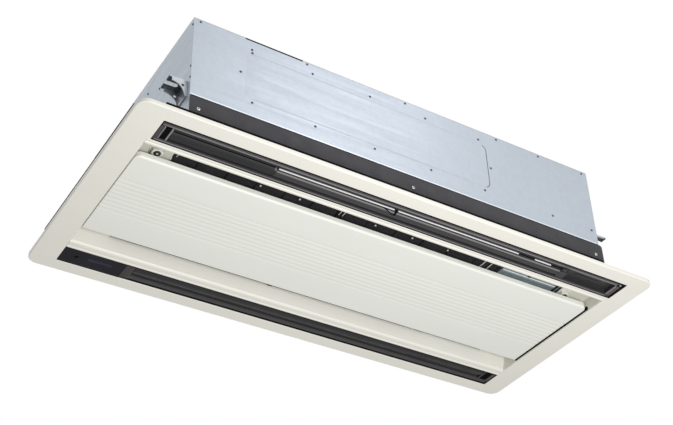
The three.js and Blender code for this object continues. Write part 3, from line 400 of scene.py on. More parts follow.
class Look(Enum):
    """Every finish of the unit."""

    ZINC = GalvanisedSheet("galvanised_sheet", "zinc_sheet", (0.462, 0.508, 0.57), 0.4, 0.5)
    # Painted highlight: a pale copy of the sheet for the band along the fold above each foot trim.
    FOLD = GalvanisedSheet("folded_sheet", "zinc_sheet", (0.72, 0.76, 0.82), 0.36, 0.4)
    # A darker copy of the galvanised sheet: painted shade on the casing's ends, which face away from the
    # light; the fan motors are drawn in it too.
    END_ZINC = GalvanisedSheet(
        "dull_galvanised_sheet", "end_zinc_sheet", (0.415, 0.465, 0.52), 0.42, 0.7, (14.0, 0.6, 14.0)
    )
    COVER = GalvanisedSheet("cover_sheet", "zinc_sheet", (0.36, 0.44, 0.46), 0.34, 0.5)
    STEEL = PressedSteel("plated_steel", "plain_steel", (0.52, 0.545, 0.575), 0.34)
    SCREW = PressedSteel("plated_screws", "plain_steel", (0.66, 0.68, 0.70), 0.3)
    DULL_SCREW = PressedSteel("dull_screws", "plain_steel", (0.10, 0.11, 0.12), 0.4, 0.6)
    # Dark steel that paints shade: under and at the tips of the hanger forks, and along the end of each
    # pressed field.
    FORK = PressedSteel("shaded_steel", "plain_steel", (0.055, 0.065, 0.075), 0.5, 0.4)
    # Black: on the screws' crosses and in the trims' holes it paints the shade of recesses; the cover's
    # clips, the plates' bolts and the near outlet's hooks are black parts.
    SOCKET = ScuffedTrim("screw_recesses", "black_plastic", (0.012, 0.012, 0.014), 0.6)
    WHITE = SatinMoulding("warm_white_moulding", "white_plastic", (0.752, 0.738, 0.672), 0.42)
    GRILLE = SatinMoulding("grille_moulding", "white_plastic", (0.755, 0.76, 0.71))
    BEIGE = SatinMoulding(
        "warm_grey_moulding", "recess_plastic", (0.66, 0.66, 0.58), 0.5, 0.0, 0.05, 700.0, 0.04
    )
    CHARCOAL = ScuffedTrim("charcoal_moulding", "charcoal_plastic", (0.030, 0.029, 0.031), 0.42)
    LIP = ScuffedTrim("outlet_lip_moulding", "charcoal_plastic", (0.085, 0.077, 0.074), 0.45)
    # Lighter charcoal for the near outlet's lip edges and blade ridge: painted highlight.
    EDGE = SatinMoulding("outlet_edge_moulding", "charcoal_plastic", (0.19, 0.18, 0.185))
    BLADE = ScuffedTrim("blade_moulding", "charcoal_plastic", (0.030, 0.029, 0.031), 0.45)
    # Near black: painted shade on the far outlet's blade face and front edge; the louvre blades and the
    # shelves are this dark too.
    DARK_BLADE = ScuffedTrim("dark_blade_moulding", "charcoal_plastic", (0.009, 0.009, 0.010), 0.5)
    # Pale: a painted highlight along the near louvre's front edge; the electric box cover's rails are pale
    # too.
    PALE = SatinMoulding("blade_edge_moulding", "strip_plastic", (0.80, 0.80, 0.81))
    STRIP = ScuffedTrim("foot_trim", "strip_plastic", (0.046, 0.0445, 0.050), 0.65, 0.0, 0.06, 0.2, 0.28)
    # Near-black matt: painted shadow in the gaps by the foot trims, the rim and the outlets; the blade's
    # notch marks and the receiver eye are drawn in it too.
    SHADOW = ScuffedTrim("sealing_foam", "black_plastic", (0.004, 0.004, 0.005), 0.9, 0.0, 0.05, 0.35, 0.08)
    FILTER = ScuffedTrim("filter_frame", "black_plastic", (0.022, 0.022, 0.024), 0.6)
    BLACK = ScuffedTrim("black_moulding", "black_plastic", (0.012, 0.012, 0.013), 0.5)
    NET = ScuffedTrim("filter_net", "black_plastic", (0.055, 0.055, 0.060), 0.7)
    FOAM = BeadFoam("bead_foam", "foam", (0.70, 0.71, 0.68), 0.8)
    FIN = CoatedFin("coil_fins", "coil_fins", (0.55, 0.57, 0.585), 0.38, 0.75)
    COPPER = DrawnMetal("copper_tube", "copper", (0.72, 0.36, 0.20), 0.3, 1.0, (0.38, 0.17, 0.10))
    BRASS = DrawnMetal("turned_brass", "brass", (0.66, 0.50, 0.22), 0.3, 1.0, (0.42, 0.30, 0.13))
    LENS = DarkLens("smoked_lens", "window_gloss", (0.007, 0.008, 0.011), 0.09)
    INLAY = DarkLens("lens_inlay", "window_gloss", (0.022, 0.019, 0.036), 0.09, 0.0, (0.032, 0.028, 0.05))
    BOARD = BoardLaminate("board_laminate", "circuit_board", (0.025, 0.10, 0.045), 0.42)


# ------------------------------------------------------------------ outlines and forms


def arc(centre: Flat, radius: float, start: float, end: float, steps: int = 8) -> list[Flat]:
    """Points round an arc, from a start angle to an end angle in degrees."""
    angles = [math.radians(start + (end - start) * i / steps) for i in range(steps + 1)]
    return [(centre[0] + radius * math.cos(a), centre[1] + radius * math.sin(a)) for a in angles]


def rectangle(x0: float, y0: float, x1: float, y1: float) -> list[Flat]:
    """The corners of a rectangle, anticlockwise from the bottom left."""
    return [(x0, y0), (x1, y0), (x1, y1), (x0, y1)]


def rounded_rect(
    half_x: float, half_y: float, radius: float, steps: int = 8, centre: Flat = (0.0, 0.0)
) -> list[Flat]:
    """Points round a rectangle with rounded corners, anticlockwise from the bottom right."""
    x, y = half_x - radius, half_y - radius
    corners = ((x, -y), (x, y), (-x, y), (-x, -y))
    return [
        point
        for turn, (cx, cy) in enumerate(corners)
        for point in arc((centre[0] + cx, centre[1] + cy), radius, 90 * turn - 90, 90 * turn, steps)
    ]


def lifted(points: Iterable[Flat], z: float) -> list[Point]:
    """Plan points at one height."""
    return [(x, y, z) for x, y in points]


def round_points(sides: int) -> list[Flat]:
    """The cosine and sine of evenly spaced angles round a circle."""
    return [(math.cos(2 * math.pi * i / sides), math.sin(2 * math.pi * i / sides)) for i in range(sides)]


class Form:
    """Closed shapes in millimetres, gathered into one mesh; a method that adds a shape returns the form."""

    def __init__(self) -> None:
        """Starts with nothing."""
        self.mesh = bmesh.new()

    def _rows(self, rings: Iterable[Sequence[Point]]) -> list[list[bmesh.types.BMVert]]:
        """Vertices for each ring."""
        return [[self.mesh.verts.new(Vector(p) * MM) for p in ring] for ring in rings]

    def _skin(self, first: list[bmesh.types.BMVert], second: list[bmesh.types.BMVert]) -> None:
        """Faces between two rings."""
        for i, vert in enumerate(first):
            after = (i + 1) % len(first)
            self.mesh.faces.new((vert, first[after], second[after], second[i]))

    def loft(self, rings: Iterable[Sequence[Point]]) -> "Form":
        """A solid through rings of points, closed by its first and last ring."""
        rows = self._rows(rings)
        for first, second in zip(rows, rows[1:]):
            self._skin(first, second)
        self.mesh.faces.new(list(reversed(rows[0])))
        self.mesh.faces.new(rows[-1])
        return self

    def hoop(self, rings: Iterable[Sequence[Point]]) -> "Form":
        """A ring-shaped solid: the last ring of points joins the first."""
        rows = self._rows(rings)
        for first, second in zip(rows, rows[1:] + rows[:1]):
            self._skin(first, second)
        return self

    def prism(self, section: Sequence[Flat], start: float, end: float, axis: Axis = Axis.X) -> "Form":
        """A section drawn out along an axis; its points are the two other coordinates in cyclic order."""
        return self.loft([[axis.place(at, a, b) for a, b in section] for at in (start, end)])

    def slabs(self, slabs: Iterable[Slab], sign: float = 1.0) -> "Form":
        """Boxes by their ranges; a sign of -1 turns them half way round the Z axis."""
        for x0, x1, y0, y1, low, high in slabs:
            xs, ys = sorted((x0 * sign, x1 * sign)), sorted((y0 * sign, y1 * sign))
            self.prism(rectangle(xs[0], ys[0], xs[1], ys[1]), low, high, Axis.Z)
        return self

    def turned(
        self, profile: Sequence[Flat], at: Flat, axis: Axis = Axis.Z, sides: int = 40, closed: bool = False
    ) -> "Form":
        """A profile turned about an axis.

        Args:
            profile: radius and place along the axis, point by point.
            at: where the axis crosses, as the two other coordinates in cyclic order.
            axis: the direction of the axis.
            sides: how many sides the turned shape has.
            closed: whether the profile closes on itself, which makes a ring; otherwise flat ends close it.

        Returns:
            This form.
        """
        rings = [
            [axis.place(along, at[0] + r * cos, at[1] + r * sin) for cos, sin in round_points(sides)]
            for r, along in profile
        ]
        return self.hoop(rings) if closed else self.loft(rings)

    def rod(
        self, at: Flat, start: float, end: float, radius: float, axis: Axis = Axis.Z, edge: float = 0.4,
        sides: int = 32,
    ) -> "Form":
        """A round bar with softened ends."""
        profile = [(radius - edge, start), (radius, start + edge), (radius, end - edge), (radius - edge, end)]
        return self.turned(profile, at, axis, sides)

    def tube(self, path: Sequence[Point], radius: float, sides: int) -> "Form":
        """A round bar along a path."""
        points = [Vector(p) for p in path]
        rings = []
        circle = round_points(sides)
        side = Vector((0.0, 0.0, 1.0))
        for i, point in enumerate(points):
            ahead = (points[min(i + 1, len(points) - 1)] - points[max(i - 1, 0)]).normalized()
            side = side - ahead * side.dot(ahead)
            side = side.normalized() if side.length > TINY else ahead.orthogonal().normalized()
            up = ahead.cross(side)
            rings.append([tuple(point + (side * cos + up * sin) * radius) for cos, sin in circle])
        return self.loft(rings)

    def object(self, name: str, edge: float = 0.0, bend: float = 30.0) -> Object:
        """Makes a plain mesh object of the form, and uses the form up.

        Args:
            name: the object's name.
            edge: radius of the softened edges.
            bend: edges that turn more than this many degrees are softened, or else stay sharp.

        Returns:
            The object, at the origin.
        """
        bmesh.ops.recalc_face_normals(self.mesh, faces=self.mesh.faces)
        if edge:
            limit = math.radians(bend)
            sharp = [e for e in self.mesh.edges if e.is_manifold and e.calc_face_angle(0.0) > limit]
            soften(self.mesh, sharp, edge, 2, True)
        mesh = bpy.data.meshes.new(name)
        self.mesh.to_mesh(mesh)
        self.mesh.free()
        for polygon in mesh.polygons:
            polygon.use_smooth = True
        mesh.set_sharp_from_angle(angle=math.radians(bend + 8.0))
        made = linked(name, mesh)
        made.modifiers.new("even_shading", "WEIGHTED_NORMAL").keep_sharp = True
        return plain(made)


def soften(
    mesh: bmesh.types.BMesh, edges: list[bmesh.types.BMEdge], radius: float, steps: int, clamp: bool
) -> None:
    """Rounds edges of a mesh; clamp keeps roundings that meet from crossing each other."""
    bmesh.ops.bevel(
        mesh, geom=edges, offset=radius * MM, segments=steps, profile=0.5, affect="EDGES",
        clamp_overlap=clamp,
    )


def linked(name: str, data: bpy.types.ID) -> Object:
    """An object of a mesh, a lamp or a camera, linked to the scene."""
    made = bpy.data.objects.new(name, data)
    bpy.context.scene.collection.objects.link(made)
    return made


def plain(thing: Object) -> Object:
    """Turns an object's modifiers into plain mesh."""
    graph = bpy.context.evaluated_depsgraph_get()
    mesh = bpy.data.meshes.new_from_object(thing.evaluated_get(graph), depsgraph=graph)
    thing.modifiers.clear()
    thing.data = mesh
    return thing


def copied(node: str) -> Form:
    """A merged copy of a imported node, with its flat faces whole."""
    form = Form()
    mesh = form.mesh
    mesh.from_mesh(frame["nodes"][node].data)
    bmesh.ops.remove_doubles(mesh, verts=mesh.verts, dist=0.02 * MM)
    bmesh.ops.dissolve_limit(mesh, angle_limit=math.radians(0.6), verts=mesh.verts, edges=mesh.edges)
    return form


def box_mm(node: str) -> tuple[Vector, Vector]:
    """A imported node's corners in millimetres."""
    low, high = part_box(node)
    return low / MM, high / MM


# ------------------------------------------------------------------ repeated shapes


class Recipe:
    """A geometry node tree with named inputs, run once for each piece that it makes."""

    def __init__(self, name: str, inputs: dict[str, str]) -> None:
        """Starts a tree; inputs gives each input's name and kind, such as Float, Int or Vector."""
        self.tree = bpy.data.node_groups.new(name, "GeometryNodeTree")
        interface = self.tree.interface
        interface.new_socket("Geometry", in_out="INPUT", socket_type="NodeSocketGeometry")
        self.ids = {
            label: interface.new_socket(label, in_out="INPUT", socket_type=f"NodeSocket{kind}").identifier
            for label, kind in inputs.items()
        }
        interface.new_socket("Geometry", in_out="OUTPUT", socket_type="NodeSocketGeometry")
        self.given = self.tree.nodes.new("NodeGroupInput").outputs
        self.end = self.tree.nodes.new("NodeGroupOutput")

    def node(self, kind: str, output: str | int, inputs: dict[str, object], **settings: object) -> Socket:
        """Adds a geometry node and gives one of its outputs."""
        return add_node(self.tree, f"GeometryNode{kind}", inputs, **settings).outputs[output]

    def close(self, instances: Socket) -> None:
        """Ends the tree by making the instances real and giving them their material."""
        real = self.node("RealizeInstances", "Geometry", {"Geometry": instances})
        dressed = self.node("SetMaterial", "Geometry", {"Geometry": real, "Material": self.given["Material"]})
        self.tree.links.new(dressed, self.end.inputs["Geometry"])

    def run(self, name: str, values: dict[str, object], host: bpy.types.Mesh | None = None) -> Object:
        """Runs the tree.

        Args:
            name: the new object's name.
            values: the tree's inputs.
            host: the mesh that the tree works on, if any.

        Returns:
            The result as a plain mesh object.
        """
        made = linked(name, host or bpy.data.meshes.new(name))
        modifier = made.modifiers.new(self.tree.name, "NODES")
        modifier.node_group = self.tree
        for label, value in values.items():
            modifier[self.ids[label]] = value
        plain(made)
        made.data.name = name
        return made


class ScatterRecipe(Recipe):
    """Puts a small part on each point of a host mesh, facing the way the point's attribute says."""

    FACING = "facing"

    def __init__(self) -> None:
        """Builds the tree."""
        super().__init__("parts_on_points", {"Part": "Object", "Size": "Float", "Material": "Material"})
        facing = self.node("InputNamedAttribute", 0, {"Name": self.FACING}, data_type="FLOAT_VECTOR")
        turn = add_node(self.tree, "FunctionNodeAlignRotationToVector", {"Vector": facing}, axis="Z")
        self.close(self.node("InstanceOnPoints", "Instances", {
            "Points": self.given["Geometry"],
            "Instance": self.node("ObjectInfo", "Geometry", {"Object": self.given["Part"]}),
            "Rotation": turn.outputs["Rotation"],
            "Scale": self.given["Size"],
        }))

    def put(self, name: str, part: Object, spots: Sequence[Spot], finish: Material, size: float) -> Object:
        """Puts copies of a part on spots.

        Args:
            name: the new object's name.
            part: what is copied.
            spots: where the copies go.
            finish: their material.
            size: their scale.

        Returns:
            The copies as one plain mesh object.
        """
        host = bpy.data.meshes.new(name)
        host.from_pydata([tuple(Vector(place) * MM) for place, _ in spots], [], [])
        facing = host.attributes.new(self.FACING, "FLOAT_VECTOR", "POINT")
        facing.data.foreach_set("vector", [value for _, way in spots for value in way])
        return self.run(name, {"Part": part, "Size": size, "Material": finish}, host)


class RowRecipe(Recipe):
    """A row of equal bars: ribs, slats, fins or the strands of a net."""

    def __init__(self) -> None:
        """Builds the tree."""
        vectors = dict.fromkeys(("First", "Step", "Bar", "Turn"), "Vector")
        super().__init__("row_of_bars", {"Count": "Int", **vectors, "Material": "Material"})
        given = self.given
        line = {"Count": given["Count"], "Start Location": given["First"], "Offset": given["Step"]}
        placed = self.node("InstanceOnPoints", "Instances", {
            "Points": self.node("MeshLine", "Mesh", line),
            "Instance": self.node("MeshCube", "Mesh", {"Size": given["Bar"]}),
        })
        turned = self.node("RotateInstances", "Instances", {"Instances": placed, "Rotation": given["Turn"]})
        self.close(turned)

    def add(
        self, form: Form, first: Point, last: Point, pitch: float, bar: Point, finish: Material, turn: Point
    ) -> None:
        """Adds a row of bars to a form.

        Args:
            form: the form that takes the bars.
            first: middle of the first bar.
            last: middle of the last bar.
            pitch: rough distance between bars; the row is divided evenly.
            bar: size of one bar.
            finish: the bars' material.
            turn: rotation of each bar about its middle, in radians.
        """
        run = Vector(last) - Vector(first)
        count = max(2, round(run.length / pitch) + 1)
        row = self.run("row", {
            "Count": count,
            "First": tuple(Vector(first) * MM),
            "Step": tuple(run * (MM / (count - 1))),
            "Bar": tuple(Vector(bar) * MM),
            "Turn": turn,
            "Material": finish,
        })
        form.mesh.from_mesh(row.data)
        bpy.data.objects.remove(row)


class Workshop:
    """What the sub-assemblies share: the materials and the repeated shapes."""

    HEAD = ((4.0, -0.2), (4.0, 0.5), (3.5, 1.2), (2.6, 1.6), (1.7, 1.7), (1.5, 1.5), (1.3, 0.7))
    CROSS = ((-2.3, 2.3, -0.45, 0.45, 0.6, 1.78), (-0.45, 0.45, -2.3, 2.3, 0.6, 1.78))

    def __init__(self) -> None:
        """Makes the materials, the recipes, and a screw's domed head and dark cross, 8 mm across; the cross's
        black paints the shade in the head's recess.
        """
        self.materials = {look: look.value.make() for look in Look}
        self.scatter = ScatterRecipe()
        self.rows = RowRecipe()
        middle = (0.0, 0.0)
        self.screw_head = self._pattern("screw_head", Form().turned(self.HEAD, middle, sides=18))
        cross = Form().turned([(1.45, 0.5), (1.45, 0.75)], middle, sides=12).slabs(self.CROSS)
        self.screw_cross = self._pattern("screw_cross", cross)

    @staticmethod
    def _pattern(name: str, form: Form) -> Object:
        """A part that recipes copy, kept out of the scene."""
        made = form.object(name)
        bpy.context.scene.collection.objects.unlink(made)
        return made


@dataclass
class Assembly:
    """A sub-assembly of the unit, and the ways in which its pieces are made and handed over."""

    shop: Workshop

    def build(self) -> None:
        """Builds every piece."""
        raise NotImplementedError

    def hand_over(
        self, piece: Object, look: Look, body: str = ROOT, replaces: Sequence[str] = ()
    ) -> None:
        """Gives a finished piece its place in the model.

        Args:
            piece: the piece.
            look: its finish.
            body: the body that it rides on.
            replaces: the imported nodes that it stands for.
        """
        piece.data.materials.clear()
        piece.data.materials.append(self.shop.materials[look])
        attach(piece, body)
        if replaces:
            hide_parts(*replaces)
        LOG.info("%s: %d faces on %s", piece.name, len(piece.data.polygons), body)

    def make(
        self, form: Form, name: str, look: Look, edge: float = 0.0, bend: float = 30.0, body: str = ROOT,
        replaces: Sequence[str] = (), slot: str = "",
    ) -> None:
        """Makes a form's object, as Form.object does, and hands it over, as hand_over does."""
        self.hand_over(form.object(name, edge, bend), look, body, replaces)

    def refine(self, node: str, look: Look, edge: float = 0.5, bend: float = 30.0, body: str = ROOT) -> None:
        """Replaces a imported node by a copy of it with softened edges."""
        self.make(copied(node), f"{node}_skin", look, edge, bend, body, [node])

    def screws(self, name: str, spots: Sequence[Spot], size: float, look: Look = Look.SCREW) -> None:
        """Screws with dark cross recesses, whose black is painted shade."""
        patterns = (("heads", self.shop.screw_head, look), ("recesses", self.shop.screw_cross, Look.SOCKET))
        for part, pattern, finish in patterns:
            material = self.shop.materials[finish]
            self.hand_over(self.shop.scatter.put(f"{name}_{part}", pattern, spots, material, size), finish)

    def bars(
        self, form: Form, look: Look, first: Point, last: Point, pitch: float, bar: Point,
        turn: Point = (0.0, 0.0, 0.0),
    ) -> None:
        """Adds a row of bars to a form, as RowRecipe.add does."""
        self.shop.rows.add(form, first, last, pitch, bar, self.shop.materials[look], turn)


# ------------------------------------------------------------------ casing


@dataclass
class Casing(Assembly):
    """The galvanised casing with its beads, screws, foot trims and hanger brackets."""

    half_x: float = 586.0
    half_y: float = 295.5
    top: float = 332.0
    lid_drop: float = 1.0
    bead_width: float = 3.2
    bead_places: Flat = (-290.0, 290.0)
    bead_loops: tuple[Flat, ...] = ((240.0, 230.0), (150.0, 140.0))
    bead_corner: float = 40.0
    field_half: Flat = (346.0, 70.5)
    field_middle: Flat = (-104.0, 217.5)
    field_corner: float = 20.0
    field_slope: float = 4.5
    field_rise: float = 1.6
    fade_depth: float = 45.0
    fade_width: float = 60.0
    strip_top: float = 90.0
    strip_drop: float = 5.5
    strip_round: float = 12.0
    strip_hole: Flat = (441.0, 74.0)
    strip_screws: tuple[float, ...] = (-565.0, 0.0, 566.0)
    # Painted shadow: dark slabs in the gap along the top of each foot trim and under the top sheet's edge.
    dark_lines: tuple[Slab, ...] = (
        (-585.5, 579.0, -299.9, -295.3, 89.9, 92.1), (-452.0, -298.0, -296.1, -295.2, 327.6, 331.2),
    )
    # Painted highlight: a pale band on the fold just above each foot trim.
    pale_lines: tuple[Slab, ...] = ((-585.5, 579.0, -296.2, -295.3, 92.5, 99.6),)
    arm_top: float = 139.0
    arm_start: float = 592.0
    arm_share: float = 0.12
    fork_y: float = 259.0
    prong_offset: float = 14.6
    prong: Point = (5.6, 16.6, 4.4)
    near_screws: tuple[Flat, ...] = (
        (-569, 324), (-286, 324), (-3, 324), (281, 324), (569, 324),
        (-435, 300), (-271, 300), (-108, 300), (56, 300), (221, 300), (-434, 290),
        (-432, 137), (-266, 137), (-102, 137), (61, 137), (224, 137), (-463, 218), (252, 218),
        (420, 324), (440, 137), (570, 137),
    )
    left_screws: tuple[Flat, ...] = (
        (-290, 313), (-292, 182), (-293, 148), (-119, 249), (-47, 289), (60, 312), (283, 312), (283, 148),
    )

    def build(self) -> None:
        """Builds every piece of the casing."""
        for side in Side:
            self.refine(f"casing_side_{side.label}", Look.ZINC, 0.35)
        self.lid()
        # The ends take the darker galvanised copy, painted shade on faces turned from the light.
        for end in End:
            self.refine(f"casing_end_{end.label}", Look.END_ZINC, 0.35)
        self.fields()
        self.fasteners()
        self.trims()
        self.hangers()
        self.forks()

    def lid(self) -> None:
        """The top sheet: a folded rim round a field that lies a little lower, with pressed beads on it."""
        low, high = box_mm("casing_top")
        field = self.top - self.lid_drop
        steps = (
            (0.0, 1.5, low.z), (0.0, 1.5, self.top - 0.3), (0.3, 1.2, self.top), (7.0, 6.0, self.top),
            (10.0, 6.0, field),
        )
        form = Form().loft([
            lifted(rounded_rect(high.x - inset, high.y - inset, radius, 4), z) for inset, radius, z in steps
        ])
        self.make(form, "casing_top_skin", Look.ZINC, bend=40.0, replaces=["casing_top"])
        beads = Form()
        for centre in self.bead_places:
            for half_x, half_y in self.bead_loops:
                path = lifted(rounded_rect(half_x, half_y, self.bead_corner, 8, (centre, 0.0)), field)
                self.bead(beads, path, self.lid_drop - 0.1)
        self.make(beads, "casing_top_beads", Look.ZINC)

    def bead(self, form: Form, path: Sequence[Point], rise: float) -> None:
        """A pressed bead: a low rounded ridge along a closed path on the top.

        Args:
            form: the form that takes the bead.
            path: points round the bead's middle line.
            rise: how far the bead stands out.
        """
        up = Vector((0.0, 0.0, 1.0))
        half = self.bead_width / 2
        crest = [(-half, -0.3), (-half, 0.05), (-half * 0.45, rise)]
        section = [*crest, *((-a, b) for a, b in reversed(crest))]
        points = [Vector(p) for p in path]
        rings = []
        for i, point in enumerate(points):
            across = up.cross((points[(i + 1) % len(points)] - points[i - 1]).normalized())
            rings.append([tuple(point + across * a + up * b) for a, b in section])
        form.hoop(rings)

    def _fade(self, into: float) -> float:
        """How far the raised field's soft end is drawn in; into is the distance from that end."""
        return self.fade_depth * max(0.0, 1.0 - into / self.fade_width)

    def fields(self) -> None:
        """The pressed field of each long side, which stands out with sloping edges, and its dark end line of
        painted shade.
        """
        (half_x, half_z), (x0, z0), radius = self.field_half, self.field_middle, self.field_corner
        form, lines = Form(), Form()
        right = x0 + half_x - radius
        line = [
            *arc((right, z0 - half_z + radius), radius, -60, 0),
            *arc((right, z0 + half_z - radius), radius, 0, 60),
        ]
        for side in BOTH:
            rings = []
            for inset, rise in ((0.0, -0.3), (0.0, 0.05), (self.field_slope, self.field_rise)):
                outline = rounded_rect(half_x - inset, half_z - inset, radius - inset, 6, (x0, z0))
                if rise == self.field_rise:
                    outline = [(x + self._fade(x - x0 + half_x), z) for x, z in outline]
                rings.append([(-side * x, side * (self.half_y + rise), z) for x, z in outline])
            form.loft(rings)
            # A dark tube along the field's end: painted shade on the step there.
            lines.tube([(-side * x, side * (self.half_y + 0.1), z) for x, z in line], 0.9, 10)
        self.make(form, "casing_side_fields", Look.ZINC, bend=35.0)
        self.make(lines, "casing_field_edges", Look.FORK)

    def fasteners(self) -> None:
        """The screws of the sides and the ends; the right end has the left one's upper screws."""
        spots = [
            ((x * sign, -self.half_y * sign, z), (0.0, -sign, 0.0))
            for sign in (1.0, -1.0) for x, z in self.near_screws
        ]
        for y, z in self.left_screws:
            spots.append(((-self.half_x, y, z), (-1.0, 0.0, 0.0)))
            if z > 200:
                spots.append(((self.half_x, -y, z), (1.0, 0.0, 0.0)))
        self.screws("casing_screws", spots, 0.8, Look.DULL_SCREW)

    def trims(self) -> None:
        """The dark trims along the foot of each long side, rounded at one end, and the painted shadow and
        highlight lines above them.
        """
        spots: list[Spot] = []
        holes, dark, pale = Form(), Form(), Form()
        for side in Side:
            sign, node = side.value, f"side_strip_{side.label}"
            form = copied(node)
            for vert in form.mesh.verts:
                if vert.co.z > self.strip_top * MM:
                    vert.co.z -= self.strip_drop * MM
            corner = [
                edge for edge in form.mesh.edges
                if all(v.co.x * sign > 560.0 * MM and v.co.z > 80.0 * MM for v in edge.verts)
                and abs(edge.verts[0].co.y - edge.verts[1].co.y) > MM
            ]
            soften(form.mesh, corner, self.strip_round, 8, False)
            self.make(form, f"{node}_skin", Look.STRIP, 0.5, replaces=[node])
            spots += [((x * sign, -299.7 * sign, 57.0), (0.0, -1.0 * sign, 0.0)) for x in self.strip_screws]
            x, z = self.strip_hole
            # Black discs at the trims' holes: painted shade in the holes.
            holes.rod((z, x * sign), -300.0 * sign, -299.4 * sign, 2.6, Axis.Y, 0.1, 16)
            dark.slabs(self.dark_lines, sign)
            pale.slabs(self.pale_lines, sign)
        self.make(dark, "trim_top_lines", Look.SHADOW, 0.2)
        self.make(pale, "casing_foot_folds", Look.FOLD, 0.3)
        self.screws("trim_screws", spots, 1.1)
        self.make(holes, "trim_holes", Look.SOCKET)

    def hangers(self) -> None:
        """The four hanger brackets, with slimmer cheeks at the right end."""
        top = self.arm_top * MM
        for end in End:
            for side in Side:
                node = f"hanger_{end.label}_{side.label}"
                form = copied(node)
                for vert in form.mesh.verts if end is End.RIGHT else ():
                    if vert.co.z < top and vert.co.x > self.arm_start * MM:
                        vert.co.z = top - (top - vert.co.z) * self.arm_share
                self.make(form, f"{node}_skin", Look.STEEL, 0.7, replaces=[node])

    def forks(self) -> None:
        """The painted shade on the undersides and tips of the hangers' forks, as thin dark plates."""
        form = Form()
        for end in End:
            for side in Side:
                part = copied(f"hanger_{end.label}_{side.label}").mesh
                away = [f for f in part.faces if f.normal.z > -0.9 or f.calc_center_median().z < 135.0 * MM]
                bmesh.ops.delete(part, geom=away, context="FACES")
                made = bmesh.ops.extrude_face_region(part, geom=part.faces[:], use_keep_orig=True)["geom"]
                for vert in made:
                    if isinstance(vert, bmesh.types.BMVert):
                        vert.co.z -= 0.6 * MM
                mesh = bpy.data.meshes.new("fork")
                part.to_mesh(mesh)
                part.free()
                form.mesh.from_mesh(mesh)
                bpy.data.meshes.remove(mesh)
        length, width, height = self.prong
        low = self.arm_top - 0.4
        for x in (-630.6, 625.0):
            for y in (side * self.fork_y + prong * self.prong_offset for side in BOTH for prong in BOTH):
                form.slabs([(x, x + length, y - width / 2, y + width / 2, low, low + height)])
        self.make(form, "hanger_forks", Look.FORK)


# ------------------------------------------------------------------ panel


